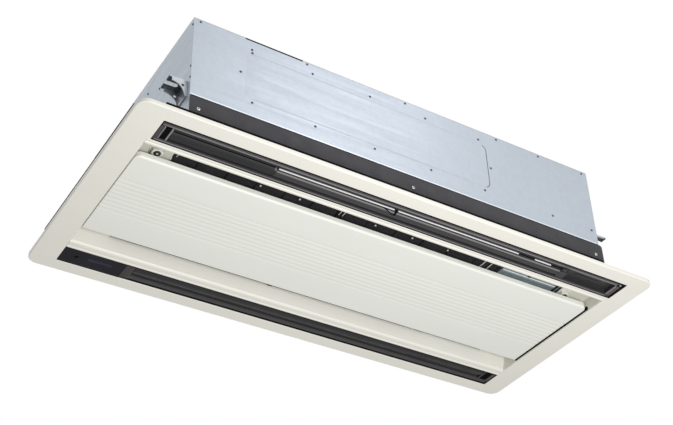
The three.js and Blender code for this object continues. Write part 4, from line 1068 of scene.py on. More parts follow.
@dataclass
class Panel(Assembly):
    """The white panel: its rim in one piece and the two bands beside the intake."""

    half_x: float = 715.0
    half_y: float = 340.0
    open_x: float = 650.0
    open_y: float = 300.0
    corner: float = 27.0
    corner_steps: int = 12
    inner_corner: float = 2.5
    back: float = -0.05
    face: float = -10.0
    edge: float = 3.0
    inner_edge: float = 1.4
    wall: float = 3.0
    tub: float = 30.0
    band_outer: float = 236.0
    band_inner: float = 207.0
    band_ledge: float = 198.0
    band_round: float = 8.0
    band_end: float = 649.7
    ledge_low: float = 27.0
    ledge_high: float = 29.9
    lip_top: float = 32.4
    seam: float = 646.5
    seam_depth: float = 0.45
    near_step: float = 6.5
    slot_shift: float = 7.5
    rib_pitch: float = 60.0
    # Painted shadow: black strips behind the rim's outer edge on the long sides and at the ends, and in the
    # gap by the grille's right end.
    gasket: tuple[Slab, ...] = (
        (-656.0, 545.0, -339.4, -335.5, -0.1, 7.0), (-714.4, -710.5, -302.0, 214.0, -0.1, 7.0),
    )
    slot_gasket: Slab = (646.3, 648.4, -158.0, 150.0, -7.0, 3.0)

    def build(self) -> None:
        """Builds every piece of the panel."""
        self.rim()
        self.back_ribs()
        form = Form()
        for sign in (1.0, -1.0):
            form.slabs(self.gasket, sign)
        self.make(form.slabs([self.slot_gasket]), "panel_seal", Look.SHADOW, 0.4)
        for side in Side:
            self.band(side)

    def _loop(self, half_x: float, half_y: float, radius: float, z: float, cut: Flat) -> list[Point]:
        """A rounded loop with two notches on each long side.

        Args:
            half_x: half the loop's length.
            half_y: half its width.
            radius: radius of its corners.
            z: its height.
            cut: how far a notch goes in and up.

        Returns:
            Its points; the six of each side's notches follow the second and the fourth corner.
        """
        count = self.corner_steps + 1
        loop: list[Point] = []
        for i, (x, y) in enumerate(rounded_rect(half_x, half_y, radius, self.corner_steps)):
            loop.append((x, y, z))
            side = {2 * count - 1: 1.0, 4 * count - 1: -1.0}.get(i, 0.0)
            for at in (self.seam, -self.seam) if side else ():
                for off, deep in ((0.5, 0.0), (0.0, 1.0), (-0.5, 0.0)):
                    loop.append((side * (at + off), side * (half_y - cut[0] * deep), z + cut[1] * deep))
        return loop

    def _outer(self, inset: float, z: float, cut: Flat = (0.0, 0.0)) -> list[Point]:
        """A loop near the panel's outer edge, with the points that face the inner loop's steps."""
        loop = self._loop(self.half_x - inset, self.half_y - inset, self.corner - inset, z, cut)
        low, reach, count = self.near_step - self.band_outer, self.half_x - inset, self.corner_steps + 1
        left, right = 3 * count + 6, count
        loop[left:left] = [(-reach, low + 2.0, z), (-reach, low - 2.0, z)]
        loop[right:right] = [(reach, low - 2.0, z), (reach, low + 2.0, z)]
        return loop

    def _inner(self, out: float, z: float, cut: Flat = (0.0, 0.0)) -> list[Point]:
        """A loop near the panel's opening, whose near outlet lies a step further right.

        Args:
            out: how far the loop lies outside the opening.
            z: its height.
            cut: how far its notches go in and up.

        Returns:
            Its points, as many as those of an outer loop.
        """
        loop = self._loop(self.open_x + out, self.open_y + out, self.inner_corner + out, z, cut)
        low, shift, reach = self.near_step - self.band_outer, self.slot_shift, self.open_x + out
        count = self.corner_steps + 1
        near = self.inner_corner + 0.1 - self.open_y
        moved = [(x + shift if y < near else x, y, height) for x, y, height in loop]
        left, right = 3 * count + 6, count
        moved[left:left] = [(-reach, low - out, z), (-reach + shift, low - out, z)]
        moved[right:right] = [(reach + shift, low + out, z), (reach, low + out, z)]
        return moved

    def rim(self) -> None:
        """The rim, with its rounded outer edge, its flat face and its inner walls."""
        deep, edge, soft, inside = self.seam_depth, self.edge, self.inner_edge, self.face + self.wall
        rings = [self._outer(0.0, self.back, (deep, 0.0))]
        for i in range(6):
            cos, sin = math.cos(math.pi / 10 * i), math.sin(math.pi / 10 * i)
            inset, z = edge * (1 - cos), self.face + edge * (1 - sin)
            rings.append(self._outer(inset, z, (deep * cos, deep * sin)))
        for i in range(5):
            cos, sin = math.cos(math.pi / 8 * i), math.sin(math.pi / 8 * i)
            rings.append(self._inner(soft * (1 - sin), self.face + soft * (1 - cos), (0.0, deep * cos)))
        rings += [self._inner(0.0, self.tub), self._inner(self.wall, self.tub)]
        rings.append(self._inner(self.wall, inside))
        rings += [self._outer(self.wall, z) for z in (inside, self.back)]
        nodes = ["panel_rail_near", "panel_rail_far", "panel_cap_left", "panel_cap_right"]
        self.make(Form().hoop(rings), "panel_rim", Look.WHITE, bend=38.0, replaces=nodes)

    def back_ribs(self) -> None:
        """Stiffening ribs across the back of the rim."""
        form = Form()
        height = -self.face - self.wall - 1.0
        z = self.face + self.wall + height / 2 - 0.1
        width, length = (outer - inner - 2 * self.wall + 0.4 for outer, inner in (
            (self.half_y, self.open_y), (self.half_x, self.open_x),
        ))
        for sign in BOTH:
            x, y = sign * (self.half_x + self.open_x) / 2, sign * (self.half_y + self.open_y) / 2
            for first, last, bar in (
                ((-600.0, y, z), (600.0, y, z), (2.0, width, height)),
                ((x, -270.0, z), (x, 270.0, z), (length, 2.0, height)),
            ):
                self.bars(form, Look.WHITE, first, last, self.rib_pitch, bar)
        self.make(form, "panel_back_ribs", Look.WHITE)

    def band(self, side: Side) -> None:
        """A band between outlet and intake, with the rounded fall into the recess and the filters' ledge."""
        near = side is Side.NEAR
        outer = (self.near_step if near else 0.0) - self.band_outer
        inner, ledge, wall, face = -self.band_inner, -self.band_ledge, self.wall, self.face
        fall = (inner - self.band_round, face + self.band_round)
        groove = (
            (0.0, 0.9), (0.3, 0.3), (0.9, 0.0), (4.6, 0.0), (5.4, 0.3),
            (6.4, 1.3), (10.6, 1.3), (11.6, 0.3), (12.4, 0.0),
        )
        section = [
            *((outer + y, face + z) for y, z in groove),
            *arc(fall, self.band_round, -90, 0, 12),
            (ledge, self.ledge_low),
            (ledge, self.ledge_high),
            (inner, self.ledge_high),
            (inner, self.lip_top),
            (inner - wall, self.lip_top),
            (inner - wall, self.ledge_low),
            (ledge - wall, self.ledge_low - 0.4),
            *arc(fall, self.band_round - wall, 0, -90, 10),
            (outer + wall, face + wall),
            (outer + wall, self.tub),
            (outer, self.tub),
        ]
        form = Form().prism(section, -self.band_end, self.band_end)
        form.slabs([(-584.0, 584.0, inner - wall, inner, self.lip_top + 0.1, 43.7)])
        node = f"panel_band_{side.label}"
        self.make(turn_round(form, side), f"{node}_skin", Look.WHITE, bend=32.0, replaces=[node])


def turn_round(form: Form, side: Side) -> Form:
    """Turns a near-side form to the far side."""
    if side is Side.FAR:
        bmesh.ops.transform(form.mesh, matrix=Matrix.Rotation(math.pi, 4, "Z"), verts=form.mesh.verts)
    return form


# ------------------------------------------------------------------ grille


@dataclass
class Grille(Assembly):
    """The flat intake grille: a shallow tray with soft grooves, hinge arms and catch tongues."""

    half_x: float = 645.0
    near: float = -160.0
    far: float = 151.0
    front: float = -5.0
    back: float = 10.0
    near_corner: float = 16.0
    far_corner: float = 3.0
    near_edge: float = 6.0
    side_edge: float = 2.0
    grooves: int = 9
    groove_pitch: float = 15.3
    groove_depth: float = 0.55
    rib_half: float = 1.2
    cross_ribs: int = 11
    long_ribs: int = 5
    hinge: Point = (604.0, 141.0, 16.5)
    hinge_radius: float = 5.5
    catch: Flat = (625.0, -115.0)

    def build(self) -> None:
        """Builds the grille in one piece."""
        form = self.tray()
        self.ribs(form)
        self.fittings(form)
        self.make(form, "intake_grille_skin", Look.GRILLE, 0.0, 32.0, "grille", ["intake_grille"])

    @staticmethod
    def _rounding(inset: float, radius: float) -> float:
        """How far a rounded edge rises at a distance inside the outline."""
        left = radius - max(inset, 0.0)
        return radius - math.sqrt(radius**2 - left**2) if left > 0 else 0.0

    def _corner_cut(self, x: float, radius: float) -> float:
        """How far a rounded corner sets the long edge back at x."""
        over = abs(x) - (self.half_x - radius)
        return radius - math.sqrt(max(radius**2 - over**2, 0.0)) if over > 0 else 0.0

    def _height(self, x: float, y: float) -> float:
        """The front face's height at a plan point, with its rounded edges and its grooves."""
        dx = abs(x) - (self.half_x - self.near_corner)
        dy = (self.near + self.near_corner) - y
        if dx > 0 and dy > 0:
            out = math.hypot(dx, dy)
            radius = self.side_edge + (self.near_edge - self.side_edge) * (dy / out) ** 2
            return self.front + self._rounding(self.near_corner - out, radius)
        rise = max(
            self._rounding(y - self.near, self.near_edge),
            self._rounding(self.far - y, self.side_edge),
            self._rounding(self.half_x - abs(x), self.side_edge),
        )
        wave = (y - (self.near + self.far) / 2) / self.groove_pitch + self.grooves / 2
        if 0 < wave < self.grooves:
            rise += self.groove_depth * (1 - math.cos(2 * math.pi * wave)) / 2
        return self.front + rise

    @staticmethod
    def _fine(reach: float, steps: int) -> list[float]:
        """Distances from an edge, close together at the edge."""
        return [reach * (1 - math.cos(math.pi / 2 * i / steps)) for i in range(steps + 1)]

    def tray(self) -> Form:
        """The tray: a front skin that follows the edges and the grooves, walls, and a closed back."""
        ends = [self.half_x - d for d in self._fine(self.near_corner, 12)]
        middle, run, steps = (self.near + self.far) / 2, self.grooves * self.groove_pitch, self.grooves * 8
        ys = sorted({
            *(self.near + d for d in self._fine(self.near_corner, 12)),
            *(self.far - d for d in self._fine(self.far_corner, 5)),
            *(middle - run / 2 + run * i / steps for i in range(steps + 1)),
        })
        rings = []
        for x in sorted({*ends, *(-v for v in ends), -400.0, 0.0, 400.0}):
            near_cut, far_cut = self._corner_cut(x, self.near_corner), self._corner_cut(x, self.far_corner)
            across = []
            for y in ys:
                near_in, far_in = self.near + self.near_corner - y, y - (self.far - self.far_corner)
                if near_in > 0:
                    y += near_cut * near_in / self.near_corner
                elif far_in > 0:
                    y -= far_cut * far_in / self.far_corner
                across.append(y)
            skin = [(x, y, self._height(x, y)) for y in across]
            rings.append([*skin, (x, across[-1], self.back), (x, across[0], self.back)])
        form = Form().loft(rings)
        bmesh.ops.remove_doubles(form.mesh, verts=form.mesh.verts, dist=0.01 * MM)
        return form

    def ribs(self, form: Form) -> None:
        """The lattice of ribs on the back, standing on the tray."""
        half, foot, top = self.rib_half, self.back - 0.5, self.back + 1.2
        low, high = self.near + 14.0, self.far - 12.0
        for x in (-590.0 + 118.0 * i for i in range(self.cross_ribs)):
            form.slabs([(x - half, x + half, low, high, foot, top)])
        for y in (low + (high - low) * i / (self.long_ribs - 1) for i in range(self.long_ribs)):
            form.slabs([(-630.0, 630.0, y - half, y + half, foot, top)])

    def fittings(self, form: Form) -> None:
        """The hinge arms at the far edge and the catch tongues at the near one."""
        (x, y, z), radius, half = self.hinge, self.hinge_radius, 2.5
        foot = self.back - 1.0
        profile = [*arc((y, z), radius, 0, 180, 12), (y - radius, foot), (y + radius, foot)]
        for end in End:
            middle = end.value * x
            form.prism(profile, middle - 4.0, middle + 4.0)
            cx, cy = end.value * self.catch[0], self.catch[1]
            form.slabs([(cx - half, cx + half, cy - half, cy + half, self.back - 0.5, self.back + 8.0)])


# ------------------------------------------------------------------ intake


@dataclass
class Intake(Assembly):
    """What lies behind the grille: end plates, filters, rail, catches and the cover of the electric box."""

    net_pitch: float = 3.0
    strand: float = 0.7
    bar: float = 5.0
    bar_pitch: float = 80.0
    frame_rim: float = 8.0
    ridge_pitch: float = 14.0
    ridge: tuple[Flat, ...] = ((0.0, 0.0), (0.28, 0.0), (0.4, 0.95), (0.72, 0.95), (0.86, 0.0))
    boss: Flat = (592.0, -152.0)
    boss_reach: float = 12.5
    boss_growth: float = 1.3
    bosses: tuple[Flat, Flat] = ((-596.5, -162.0), (577.0, -150.0))
    rings: tuple[tuple[float, float, float, float], ...] = (
        (18.2, 16.8, 26.9, 25.4), (12.6, 11.4, 18.2, 17.5),
    )
    bolt: tuple[Flat, ...] = ((8.4, 18.0), (8.4, 16.2), (7.6, 15.4), (3.0, 15.1), (2.6, 16.2))
    plate_spots: tuple[Flat, ...] = ((640.0, 185.0), (572.0, 185.0), (640.0, -60.0))
    rail_spots: tuple[Flat, ...] = ((-115.0, -186.0), (-115.0, -60.0), (-115.0, 60.0), (-115.0, 186.0))
    hook: tuple[Flat, ...] = (
        (-556.0, -175.0), (-560.5, -169.0), (-561.0, -160.0), (-558.0, -150.0), (-557.0, -142.0),
    )

    def build(self) -> None:
        """Builds every piece of the intake."""
        for end in End:
            self.plate(end)
            self.refine(f"hinge_pin_{end.label}", Look.STEEL, 0.4)
            self.refine(f"grille_catch_{end.label}", Look.BLACK)
            self.filter(end)
        self.refine("filter_rail", Look.BLACK)
        self.clips()
        self.refine("electric_box", Look.ZINC, 0.4)
        self.cover()
        self.plate_screws()

    def plate(self, end: End) -> None:
        """An end plate of the recess, its screw boss drawn a little larger and out towards the corner."""
        node = f"recess_plate_{end.label}"
        form = copied(node)
        at = Vector((end.value * self.boss[0], self.boss[1])) * MM
        to = Vector(self.bosses[end is End.RIGHT]) * MM
        for vert in form.mesh.verts:
            off = vert.co.xy - at
            if off.length < self.boss_reach * MM and vert.co.z < 28.0 * MM:
                vert.co.xy = to + off * self.boss_growth
        self.make(form, f"{node}_skin", Look.BEIGE, 0.5, replaces=[node])

    def filter(self, end: End) -> None:
        """A filter: a moulded frame with cross bars and a fine net stretched over it."""
        node, rim, half = f"filter_{end.label}", self.frame_rim, self.bar / 2
        low, high = box_mm(node)
        x0, y0, x1, y1 = low.x + rim, low.y + rim, high.x - rim, high.y - rim
        outer, inner = rectangle(low.x, low.y, high.x, high.y), rectangle(x0, y0, x1, y1)
        walls = ((outer, low.z), (outer, high.z), (inner, high.z), (inner, low.z))
        form = Form().hoop([lifted(outline, z) for outline, z in walls])
        count = round((high.x - low.x) / self.bar_pitch)
        for x in (low.x + (high.x - low.x) * i / count for i in range(1, count)):
            form.slabs([(x - half, x + half, y0 - 0.5, y1 + 0.5, low.z + 0.5, high.z - 2.0)])
        for y in (low.y + (high.y - low.y) * i / 5 for i in range(1, 5)):
            form.slabs([(x0 - 0.5, x1 + 0.5, y - half, y + half, low.z + 0.8, high.z - 2.3)])
        self.make(form, f"{node}_frame", Look.FILTER, 0.4, replaces=[node])
        (x, y, _), z, thick = (low + high) / 2, high.z - 2.6, self.strand
        net = Form()
        across, along = (thick, y1 - y0 + 2, thick), (x1 - x0 + 2, thick, thick)
        self.bars(net, Look.NET, (x0, y, z), (x1, y, z), self.net_pitch, across)
        self.bars(net, Look.NET, (x, y0, z + thick), (x, y1, z + thick), self.net_pitch, along)
        self.make(net, f"{node}_net", Look.NET)

    def clips(self) -> None:
        """The pale ridges of the rail and the pale clips, bars and hooks that hold the filters."""
        form = Form()
        for x in (-120.0, -109.5):
            for y in (-163.0, 163.0):
                form.slabs([(x - 0.8, x + 0.8, y - 9.0, y + 9.0, 26.3, 27.4)])
        for x in (311.0, 332.0):
            form.slabs([(x - 1.2, x + 1.2, -197.0, 197.0, 29.0, 30.8)])
        for x in (-334.0, -229.0, -17.0, 91.0, 198.0):
            for y in (-158.0, 158.0):
                form.rod((x, y), 28.4, 30.8, 2.4, Axis.Z, 0.6, 16)
        for sign in BOTH:
            form.tube([(sign * x, sign * y, 28.6) for x, y in self.hook], 1.9, 12)
            form.tube([(sign * -547.0, sign * -170.0, 30.0), (sign * -548.5, sign * -158.0, 30.0)], 1.1, 10)
        self.make(form, "filter_clips", Look.WHITE, 0.3)

    def cover(self) -> None:
        """The cover of the electric box, pressed into ridges, with its bright rails and dark clips."""
        low, high = box_mm("electric_box_cover")
        count = 2 * round((high.y - low.y) / self.ridge_pitch / 2)
        pitch = (high.y - low.y) / count
        lower = [
            (low.y + pitch * i + pitch * share, low.z + rise)
            for i in range(count) for share, rise in self.ridge
        ]
        lower.append((high.y, low.z))
        form = Form().prism(lower + [(y, z + 0.5) for y, z in reversed(lower)], low.x, high.x)
        self.make(form, "electric_box_cover_skin", Look.COVER, bend=24.0, replaces=["electric_box_cover"])
        bright, dark = Form(), Form()
        for sign in BOTH:
            y = sign * 159.2
            bright.slabs([(low.x + 3.0, high.x - 26.0, y - 1.7, y + 1.7, 29.0, low.z + 0.2)])
            dark.rod((452.0, sign * 166.0), 28.6, low.z + 0.2, 5.0, Axis.Z, 0.5, 24)
            y0, y1 = sign * 158.0 - 26.0, sign * 158.0 + 26.0
            for start, end, foot in ((25.0, 18.0, 28.6), (12.0, 0.5, 28.0)):
                dark.slabs([(high.x - start, high.x - end, y0, y1, foot, low.z)])
        self.make(bright, "cover_rails", Look.PALE, 0.4, slot="plain_steel")
        self.make(dark, "cover_clips", Look.SOCKET, 0.3)

    def plate_screws(self) -> None:
        """Dark screws that hold the end plates and the rail, and the plates' bolts in their pale rings."""
        places = [(sign * x, y) for sign in BOTH for x, y in self.plate_spots] + list(self.rail_spots)
        self.screws("plate_screws", [((x, y, 27.0), DOWN) for x, y in places], 1.2, Look.DULL_SCREW)
        rings, cores = Form(), Form()
        for at in self.bosses:
            for outer, inner, high, low in self.rings:
                rings.turned([(outer, high), (outer, low), (inner, low), (inner, high)], at, closed=True)
            cores.turned(self.bolt, at, sides=32)
        self.make(rings, "plate_rings", Look.WHITE)
        self.make(cores, "plate_bolts", Look.SOCKET, 0.2)


# ------------------------------------------------------------------ outlets


@dataclass(frozen=True)
class OutletTrim:
    """What sets one outlet apart, placed as on the near side; its looks are lit and shaded copies of one set
    of mouldings, lighter with painted highlights on the near outlet and darker with painted shade on the far
    one.
    """

    moulding: Look
    face: Look
    tip: Look
    post: float
    ribs_start: float
    smooth: tuple[Slab, ...]
    channel: tuple[Slab, ...]
    mark: tuple[tuple[Point, Point], ...]


NEAR_TRIM = OutletTrim(
    # Lit copies: a lighter edge moulding, with the smooth line by the band, and a pale blade edge are painted
    # highlights.
    Look.EDGE, Look.BLADE, Look.PALE, -631.6, -641.5,
    smooth=((-637.0, 637.0, -237.0, -234.0, -9.2, -8.2),),
    channel=(
        (-642.6, -640.4, -299.4, -229.4, -8.9, -7.0),
        (649.0, 657.6, -299.4, -229.4, -8.9, -7.0),
        (-649.4, 649.4, -234.0, -228.0, -9.0, -8.1),
    ),
    mark=(((-62.0, -267.5, -7.6), (-34.0, -256.5, -9.6)), ((-32.0, -256.5, -9.6), (-32.0, -269.8, -6.6))),
)
FAR_TRIM = OutletTrim(
    # Shaded copies: darker edges, blade face and blade edge are painted shade.
    Look.BLADE, Look.DARK_BLADE, Look.DARK_BLADE, -638.8, -648.5,
    smooth=(),
    channel=(
        (-649.5, -646.5, -299.4, -238.0, -8.9, -7.0),
        (646.5, 649.5, -299.4, -238.0, -8.9, -7.0),
        (-649.4, 488.0, -240.5, -235.9, -9.2, -8.3),
    ),
    mark=(),
)


@dataclass
class Outlet(Assembly):
    """One outlet: its frame with the ribbed lip and smooth edges, and the louvre with its front edge, pale on
    the near outlet as a painted highlight.
    """

    side: Side
    trim: OutletTrim
    half_x: float = 649.4
    lip_outer: float = -299.6
    lip_inner: float = -281.2
    lip_foot: float = 299.7
    lip_slope: Flat = (4.0, 18.7)
    lip_face: float = -8.0
    rib_outer: float = -293.8
    rib_inner: float = -287.0
    rib_pitch: float = 5.0
    pivot: Flat = (-252.0, 3.0)
    radius: float = 11.5
    reach: float = 17.6
    blade: Flat = (-608.5, 464.8)
    thickness: float = 2.6
    pin: float = 3.2
    trim_start: float = -350.0
    edge_runs: tuple[Flat, ...] = ((-347.0, -38.0), (-27.0, 330.0), (381.0, 432.0))
    dark_run: Flat = (356.0, 381.0)
    border: Slab = (-649.4, 649.4, -241.2, -233.0, -8.8, -8.0)
    pocket: Slab = (-636.0, -614.6, -280.0, -240.6, -7.4, -6.6)
    shelf: Slab = (-608.0, 465.0, -280.8, -271.8, -2.6, -1.6)
    hooks: tuple[Slab, ...] = (
        (468.0, 480.0, -282.0, -279.0, -9.6, -8.0),
        (481.5, 486.5, -274.0, -266.0, -9.6, -8.0),
        (466.5, 475.5, -269.25, -266.75, -9.6, -8.0),
    )
    bars_inside: tuple[Slab, ...] = (
        (520.0, 600.0, -262.0, -257.5, 3.6, 6.2), (500.0, 630.0, -276.0, -272.0, 4.4, 6.2),
    )
    clip: Slab = (642.0, 645.5, -291.0, -288.5, -9.4, -8.4)

    def build(self) -> None:
        """Builds every piece of the outlet."""
        self.refine(f"outlet_frame_{self.side.label}", Look.CHARCOAL, 0.45)
        self.refine(f"louvre_motor_{self.side.label}", Look.BLACK)
        self.louvre()
        self.blade_trims()
        self.lip_ribs()
        self.edges()
        self.details()

    @property
    def louvre_body(self) -> str:
        """The body, and the node, of this side's louvre."""
        return f"louvre_{self.side.label}"

    def finish(self, form: Form, name: str, look: Look, body: str = ROOT, slot: str = "") -> None:
        """Turns a near-side form to this side and makes its piece."""
        self.make(turn_round(form, self.side), f"{name}_{self.side.label}", look, 0.0, 32.0, body, (), slot)

    def _front(self) -> list[Flat]:
        """The blade's curved front face, from its tip to its foot."""
        y, z = self.pivot
        tip, foot = (y - self.reach, z - self.radius * 0.6), (y, z - self.radius)
        handle = (y - self.reach * 0.6, z - self.radius)
        return [
            tuple((1 - t) ** 2 * a + 2 * t * (1 - t) * b + t**2 * c for a, b, c in zip(tip, handle, foot))
            for t in (i / 12 for i in range(13))
        ]

    def louvre(self) -> None:
        """The curved blade with its end lugs and pins."""
        (y, z), radius, front, (start, end) = self.pivot, self.radius, self._front(), self.blade
        back = [(a + (1.0 if i == 0 else 0.0), b + self.thickness) for i, (a, b) in enumerate(front)]
        section = [
            *front,
            *arc(self.pivot, radius, -90, -11, 12)[1:],
            *arc(self.pivot, radius - self.thickness, -11, -90, 12)[:-1],
            *reversed(back),
        ]
        form = Form().prism(section, start, end)
        for at in (start, end - 4.0):
            form.rod(self.pivot, at, at + 4.0, 4.0, Axis.X)
            form.slabs([(at, at + 4.0, y - 4.0, y + 4.0, z - radius + 1.0, z)])
        form.rod(self.pivot, start - self.pin, start + 1.0, 2.0, Axis.X, 0.3, 20)
        form.rod(self.pivot, end - 1.0, end + self.pin, 2.0, Axis.X, 0.3, 20)
        body = self.louvre_body
        self.make(turn_round(form, self.side), f"{body}_blade", Look.DARK_BLADE, 0.0, 32.0, body, [body])

    def blade_trims(self) -> None:
        """What stands on the blade: its skin, a ridge, the front edge, a dark notch and the near mark."""
        trim, body, front = self.trim, self.louvre_body, self._front()
        start, end = self.trim_start, self.blade[1]
        (y, _), (tip_y, tip_z) = self.pivot, front[0]
        lower = [*front[6:], *arc(self.pivot, self.radius, -90, -20, 9)[1:]]
        outside = [(a + (a - y) * 0.02, b - 0.35) for a, b in front[6:]]
        outside += arc(self.pivot, self.radius + 0.35, -90, -20, 9)[1:]
        skin = Form().prism([*outside, *reversed(lower)], start, end - 0.2)
        self.finish(skin, "blade_skin", trim.face, body)
        a, b = ((front[4][i] + front[5][i]) / 2 for i in range(2))
        crest = ((-2.0, 0.5), (-1.4, -0.9), (1.2, -1.5), (2.0, 0.1))
        ridge = Form().prism([(a + dy, b + dz) for dy, dz in crest], start, end)
        ridge.loft([
            [(start - 6.0 + off * (1 - share), a - 1.2 - 10.0 * share, b + 0.2 + 3.0 * share + up)
             for off, up in rectangle(0.0, 0.0, 4.5, 1.5)]
            for share in (0.0, 0.8)
        ])
        self.finish(ridge, "blade_ridge", trim.moulding, body)
        edge, dark = Form(), Form()
        lip = [(tip_y + dy, tip_z + dz) for dy, dz in ((-1.2, -0.3), (0.4, -0.6), (0.4, 3.0), (-1.2, 3.0))]
        for run in self.edge_runs:
            edge.prism(lip, *run)
        # The near outlet's pale front edge is a painted highlight; the far one's dark edge is painted shade.
        self.finish(edge, "blade_edge", trim.tip, body, "strip_plastic")
        dark.prism(rectangle(tip_y - 1.0, tip_z - 0.2, tip_y + 0.4, tip_z + 4.0), *self.dark_run)
        pen = rectangle(-3.0, 0.0, 3.0, 3.4)
        for stroke in trim.mark:
            dark.loft([[(px + off, py, pz + up) for off, up in pen] for px, py, pz in stroke])
        self.finish(dark, "blade_notch", Look.SHADOW, body)

    def _on_lip(self, places: Iterable[Flat]) -> list[Flat]:
        """Points near the sloping lip's face, from their places across the unit and heights above it."""
        rise, run = self.lip_slope
        return [(y, self.lip_face + rise * (self.lip_foot - abs(y)) / run + dz) for y, dz in places]

    def lip_ribs(self) -> None:
        """Fine slanting ribs on the sloping lip, and ribs along the end borders."""
        sign, form = self.side.value, Form()
        y, z = self._on_lip([((self.rib_outer + self.rib_inner) / 2, -0.15)])[0]
        rib = (1.9, (self.rib_inner - self.rib_outer) * 1.06, 0.9)
        turn = (math.atan2(*self.lip_slope) * sign, 0.0, 0.35)
        first, last = ((x * sign, y * sign, z) for x in (-645.0, 645.0))
        self.bars(form, Look.LIP, first, last, self.rib_pitch, rib, turn)
        low, start = self.lip_face - 0.6, self.trim.ribs_start
        for x0, x1 in ((start, start + 9.0), (640.5, 648.5)):
            for x in (x0 + (x1 - x0) * (i + 0.5) / 4 for i in range(4)):
                form.slabs([(x - 0.7, x + 0.7, -283.0, -240.5, low, low + 1.2)], sign)
        self.make(form, f"outlet_ribs_{self.side.label}", Look.LIP)

    def edges(self) -> None:
        """The smooth edges, lighter on the near outlet as a painted highlight, the near outlet's border, and
        the dark channel with its pocket, painted shadow in the gaps and the recess.
        """
        outer, inner, post, end = self.rib_inner + 0.3, self.lip_inner, self.trim.post, self.half_x
        lip = self._on_lip([(outer, -0.7), (inner, -0.9), (inner, 1.0), (outer, 0.6)])
        smooth = Form().prism(lip, -637.5, 637.5)
        for x0, x1 in ((post, post + 2.6), (-614.2, -610.2), (634.6, 638.4)):
            smooth.slabs([(x0, x1, -281.5, -240.6, -8.7, -5.4)])
        # On the near outlet this lighter edge moulding is a painted highlight.
        self.finish(smooth.slabs(self.trim.smooth), "outlet_edge", self.trim.moulding)
        if self.side is Side.NEAR:
            self.finish(Form().slabs([self.border]), "outlet_border", Look.BLADE)
        # Painted shadow: the dark channel along the lip, the lines at its ends and by the band, and the black
        # pocket.
        outer, inner = self.lip_outer, self.rib_outer - 0.1
        lip = self._on_lip([(outer, -0.6), (inner, -0.6), (inner, 0.6), (outer, 0.6)])
        channel = Form().prism(lip, -end, end)
        channel.slabs([*self.trim.channel, self.pocket])
        for x in (-634.0 + 3.6 * i for i in range(6)):
            channel.slabs([(x, x + 1.2, -279.0, -241.0, -8.1, -7.3)])
        self.finish(channel, "outlet_channel", Look.SHADOW)

    def details(self) -> None:
        """The shelf, the hooks of the near outlet or the comb of the far one, the bars and a clip."""
        self.finish(Form().slabs([self.shelf]), "outlet_shelf", Look.DARK_BLADE)
        if self.side is Side.NEAR:
            self.finish(Form().slabs(self.hooks), "outlet_notch", Look.SOCKET)
        else:
            teeth = [(x, x + 1.5, -295.0, -241.0, -9.5, -8.0) for x in (468.0 + 4.6 * i for i in range(5))]
            self.finish(Form().slabs(teeth), "outlet_comb", Look.LIP)
        self.finish(Form().slabs(self.bars_inside), "outlet_bar", Look.BLADE)
        self.finish(Form().slabs([self.clip]), "outlet_clip", Look.WHITE)


@dataclass
class Receiver(Assembly):
    """The smoked window at one end of the far outlet, with its board and button."""

    inlay: Slab = (-582.0, -520.0, 258.0, 267.5, -9.85, -9.5)
    eye: Flat = (-612.0, 265.0)

    def build(self) -> None:
        """Builds the window and what is behind it."""
        self.refine("receiver_window", Look.LENS)
        self.make(Form().slabs([self.inlay]), "receiver_inlay", Look.INLAY, 0.1)
        eye = Form().turned([(5.2, -9.5), (5.2, -9.7), (4.6, -9.85)], self.eye, sides=32)
        self.make(eye, "receiver_eye", Look.SHADOW)
        self.refine("receiver_board", Look.BOARD, 0.2)
        self.refine("manual_button", Look.CHARCOAL, 0.4, body="button")


# ------------------------------------------------------------------ inside


@dataclass
class Cooling(Assembly):
    """The coils, the drain pan and the pipework."""

    fin_pitch: float = 3.0
    fin: float = 0.5
    end_plate: float = 1.5
    tube_rows: int = 10
    tube_radius: float = 4.7
    plain_pieces: tuple[tuple[str, Look, float], ...] = (
        ("gas_flare_nut", Look.BRASS, 0.6),
        ("liquid_flare_nut", Look.BRASS, 0.6),
        ("drain_pump", Look.WHITE, 0.6),
        ("drain_pipe", Look.BLACK, 0.5),
        ("float_switch", Look.WHITE, 0.4),
    )

    def build(self) -> None:
        """Builds every piece of the cooling circuit and the drainage."""
        self.refine("drain_pan", Look.FOAM, 0.8)
        for side in Side:
            self.coil(side)
        for node in ("gas_pipework", "liquid_pipework"):
            self.refine(node, Look.COPPER, 0.3, 35.0)
        for node, look, edge in self.plain_pieces:
            self.refine(node, look, edge)
        self.refine("float", Look.FOAM, 0.8, body="float")
        self.refine("cable_gland", Look.BLACK)

    def coil(self, side: Side) -> None:
        """A finned coil: thin fins on rows of copper tube between two end plates."""
        node = f"coil_{side.label}"
        low, high = box_mm(node)
        (_, y, z), size = (low + high) / 2, high - low
        form, tubes = Form(), Form()
        bar = (self.fin, size.y, size.z)
        self.bars(form, Look.FIN, (low.x + 3.0, y, z), (high.x - 3.0, y, z), self.fin_pitch, bar)
        for x in (low.x, high.x - self.end_plate):
            form.slabs([(x, x + self.end_plate, low.y, high.y, low.z, high.z)])
        self.make(form, f"{node}_fins", Look.FIN, replaces=[node])
        for row in range(self.tube_rows):
            height = low.z + size.z * (row + 0.5) / self.tube_rows
            for across in (y - size.y / 4, y + size.y / 4):
                tubes.rod((across, height), low.x + 0.2, high.x - 0.2, self.tube_radius, Axis.X, 0.5, 12)
        self.make(tubes, f"{node}_tubes", Look.COPPER)


